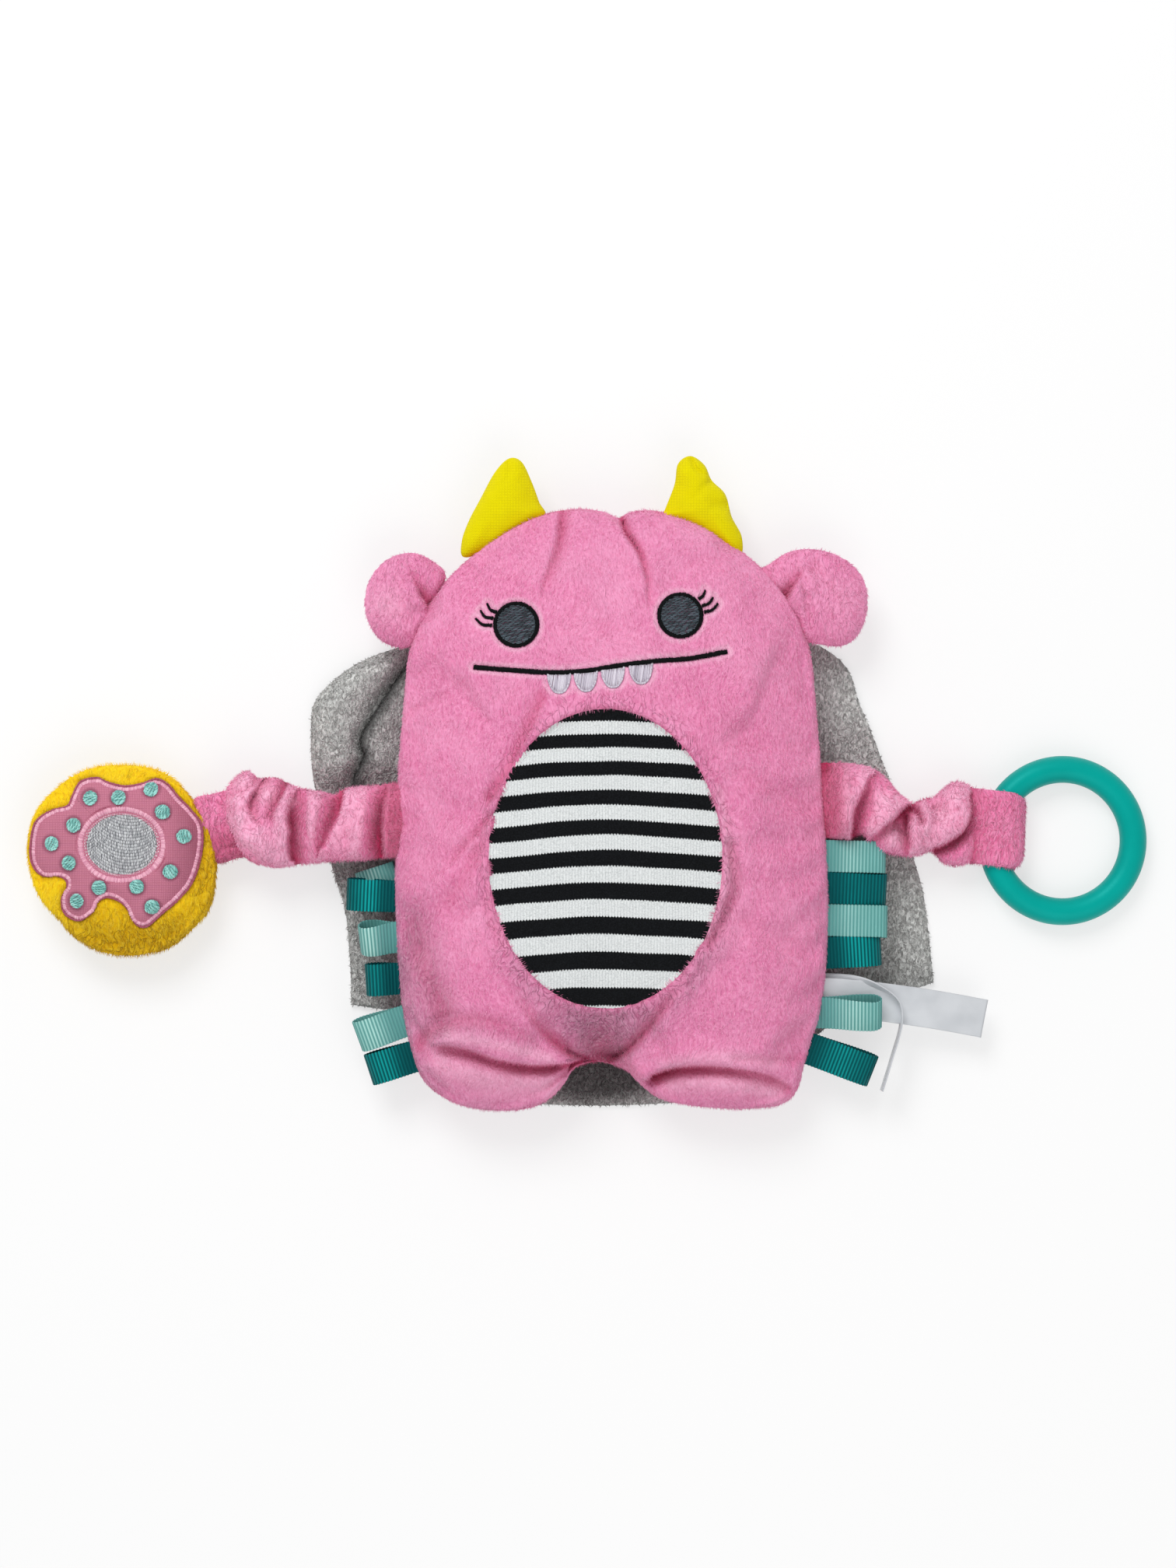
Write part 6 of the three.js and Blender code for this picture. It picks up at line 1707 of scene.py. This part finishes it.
def makeTag():
    line = curveThrough(tag["flat"], tag["steps"])
    aside = unit(np.cross((0, 0, 1), unit(np.gradient(line, axis=0))))
    across = np.linspace(-0.5, 0.5, tag["rows"])
    grid = line[:, None] + aside[:, None] * (across * tag["width"])[:, None]
    grid[..., 2] += 0.5 * np.sin(line[:, :1] / 7) * across + 0.4 * (across * 2) ** 2
    flat = slabOf("side_tag_leaf", grid, tag["thickness"], tagSatin)
    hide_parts("side_tag")
    line = curveThrough(tag["edge"], tag["edgeSteps"])
    rise = np.linspace(-0.5, 0.5, tag["edgeRows"]) * tag["edgeWidth"]
    way = np.gradient(line, axis=0)
    aside = np.stack([-way[:, 1], way[:, 0]], 1) / lengths(way[:, :2])
    stand = math.radians(tag["stand"]) * ease(0.12, 0.5, np.linspace(0, 1, len(line)))[:, None]
    grid = np.repeat(line[:, None], tag["edgeRows"], 1)
    grid[..., :2] += aside[:, None] * (rise * np.cos(stand))[..., None]
    grid[..., 2] += rise * np.sin(stand)
    leaf = slabOf("side_tag_edge", grid, tag["thickness"], tagSatin)
    for piece in (flat, leaf):
        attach(piece, "side_tag")


makeTag()
print("tag sewn in")


# Cape: fleece under the body, sewn on at the neck, with a rolled fold on the left

cape = dict(
    neck=[(-74, 71.5), (-40, 72), (0, 72), (40, 72), (74, 71.5)],
    hem=[(-105, -79), (-95, -80.6), (-84, -83), (-74, -99), (-62, -115), (-36, -119), (0, -120), (36, -118),
         (62, -113), (74, -104), (86, -90), (104, -80), (131.6, -70)],
    left=[(-74, 71.5), (-84, 66), (-95, 62), (-105, 57), (-113, 50.6), (-118.6, 44), (-120.4, 36),
          (-119.6, 13), (-113, -22), (-107.5, -40), (-105.4, -62), (-105, -79)],
    right=[(74, 71.5), (88, 65), (96.6, 57), (101, 44), (106, 32), (111, 19), (116, 6), (123.6, -20),
           (128, -37), (131.6, -70)],
    columns=190, rows=160, thickness=1.9, flat=(251, 193),
    crease=[(-80, 60), (-86, 52), (-91.5, 43.5), (-96, 36.5), (-99.6, 30.5), (-100.2, 26), (-98.8, 22.5),
            (-100.6, 17.5), (-103, 13), (-104, 5)],
    z=1.15, lowest=1.0, roll=7.6, rollWidth=23, inner=6.4, wave=1.2, waveSize=26,
    # spans, from where each starts to where it is full
    rollLow=(4, 20), rollHigh=(70, 54), creaseLow=(2, 9), leftShows=(-86, -92), rightShows=(86, 95),
    armY=2, armClear=(24, 34), waveLow=(-70, -60), waveHigh=(60, 45), coveredX=(82, 76), coveredY=(-96, -88),
    hollow=dict(x=-5, y=-104, wide=26, tall=14, strength=0.88),  # shade between the feet
    pile=dict(density=0.7, length=1.3, thickness=0.5, lean=-0.5, swirl=2.0, stray=0.7, seed=8),
)


def makeCape():
    u, v = np.linspace(0, 1, cape["columns"]) ** 1.3, np.linspace(0, 1, cape["rows"])
    neck, hem = [np.stack([np.interp(u, np.linspace(0, 1, 400), side[:, k]) for k in (0, 1)], 1)
                 for side in (curveThrough(cape["neck"], 400), curveThrough(cape["hem"], 400))]
    left, right = curveThrough(cape["left"], len(v)), curveThrough(cape["right"], len(v))
    a, b = u[:, None, None], v[None, :, None]
    flat = (1 - b) * neck[:, None] + b * hem[:, None] + (1 - a) * left[None] + a * right[None]
    flat -= (1 - a) * (1 - b) * neck[0] + a * (1 - b) * neck[-1] + (1 - a) * b * hem[0] + a * b * hem[-1]
    x, y = flat[..., 0], flat[..., 1]
    crease = curveThrough(cape["crease"], 60)
    distance = nearPath(x, y, crease)[0]
    outside = x < np.interp(y, crease[::-1, 1], crease[::-1, 0])
    fade = ease(*cape["rollLow"], y) * ease(*cape["rollHigh"], y)
    edgeX = np.interp(y, left[::-1, 1], left[::-1, 0])
    hump = cape["roll"] * np.sin(math.pi * np.clip((x - edgeX) / cape["rollWidth"], 0, 1)) ** 0.65
    hump = hump * ease(0, 7, distance)
    inner = cape["inner"] * ease(-0.6, 1.8, distance) * (1 - 0.75 * ease(3, 20, distance))
    z = np.where(outside, hump, inner) * fade
    shows = ease(*cape["leftShows"], x) + ease(*cape["rightShows"], x)  # beside the body
    points = np.stack([x, y, z], -1)
    free = ease(*cape["armClear"], np.abs(y - cape["armY"]))  # flat under the arms
    waves = cape["wave"] * (softNoise(points * (1, 1, 0), cape["waveSize"], 140) + 0.6) * shows * free
    waves = np.maximum(waves * ease(*cape["waveLow"], y), 0)
    z = cape["z"] + z + waves * ease(*cape["waveHigh"], y)
    z = z + 0.12 * softNoise(points, 2.2, 141) + 0.1 * softNoise(points, 1.3, 142)
    points = np.stack([x, y, np.maximum(z, cape["lowest"])], -1)
    piece = slabOf("cape_fleece", points, cape["thickness"], greyFleece)
    # painted shade along the crease
    paintedShade = bell(distance, np.where(outside, 2.4, 3.4)) * ease(*cape["creaseLow"], y)
    paintedShade = paintedShade * ease(*cape["rollHigh"], y)
    spot = cape["hollow"]
    out = np.hypot((x - spot["x"]) / spot["wide"], (y - spot["y"]) / spot["tall"])
    hollow = spot["strength"] * ease(1.5, 0.7, out)
    markPiece(piece, "paintedShade", np.stack([paintedShade, np.maximum(paintedShade, hollow)]))  # on the upper face only
    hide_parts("cape")
    covered = ease(*cape["coveredX"], np.abs(x)) * ease(*cape["coveredY"], y)  # no pile under the body
    for part in (piece, growPile(piece, cape["pile"], np.tile(covered.ravel(), 2))):
        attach(part, "cape")


makeCape()
print("cape laid")


# Pack of grain and the tape behind the filling keep their own solids
inside = dict(heat_pack_pouch=cotton, heat_pack_grain=grain, hook_strip=hookTape, loop_strip=loopTape)
for node, material in inside.items():
    solid = frame["nodes"][node]
    solid.data.materials.clear()
    solid.data.materials.append(material)
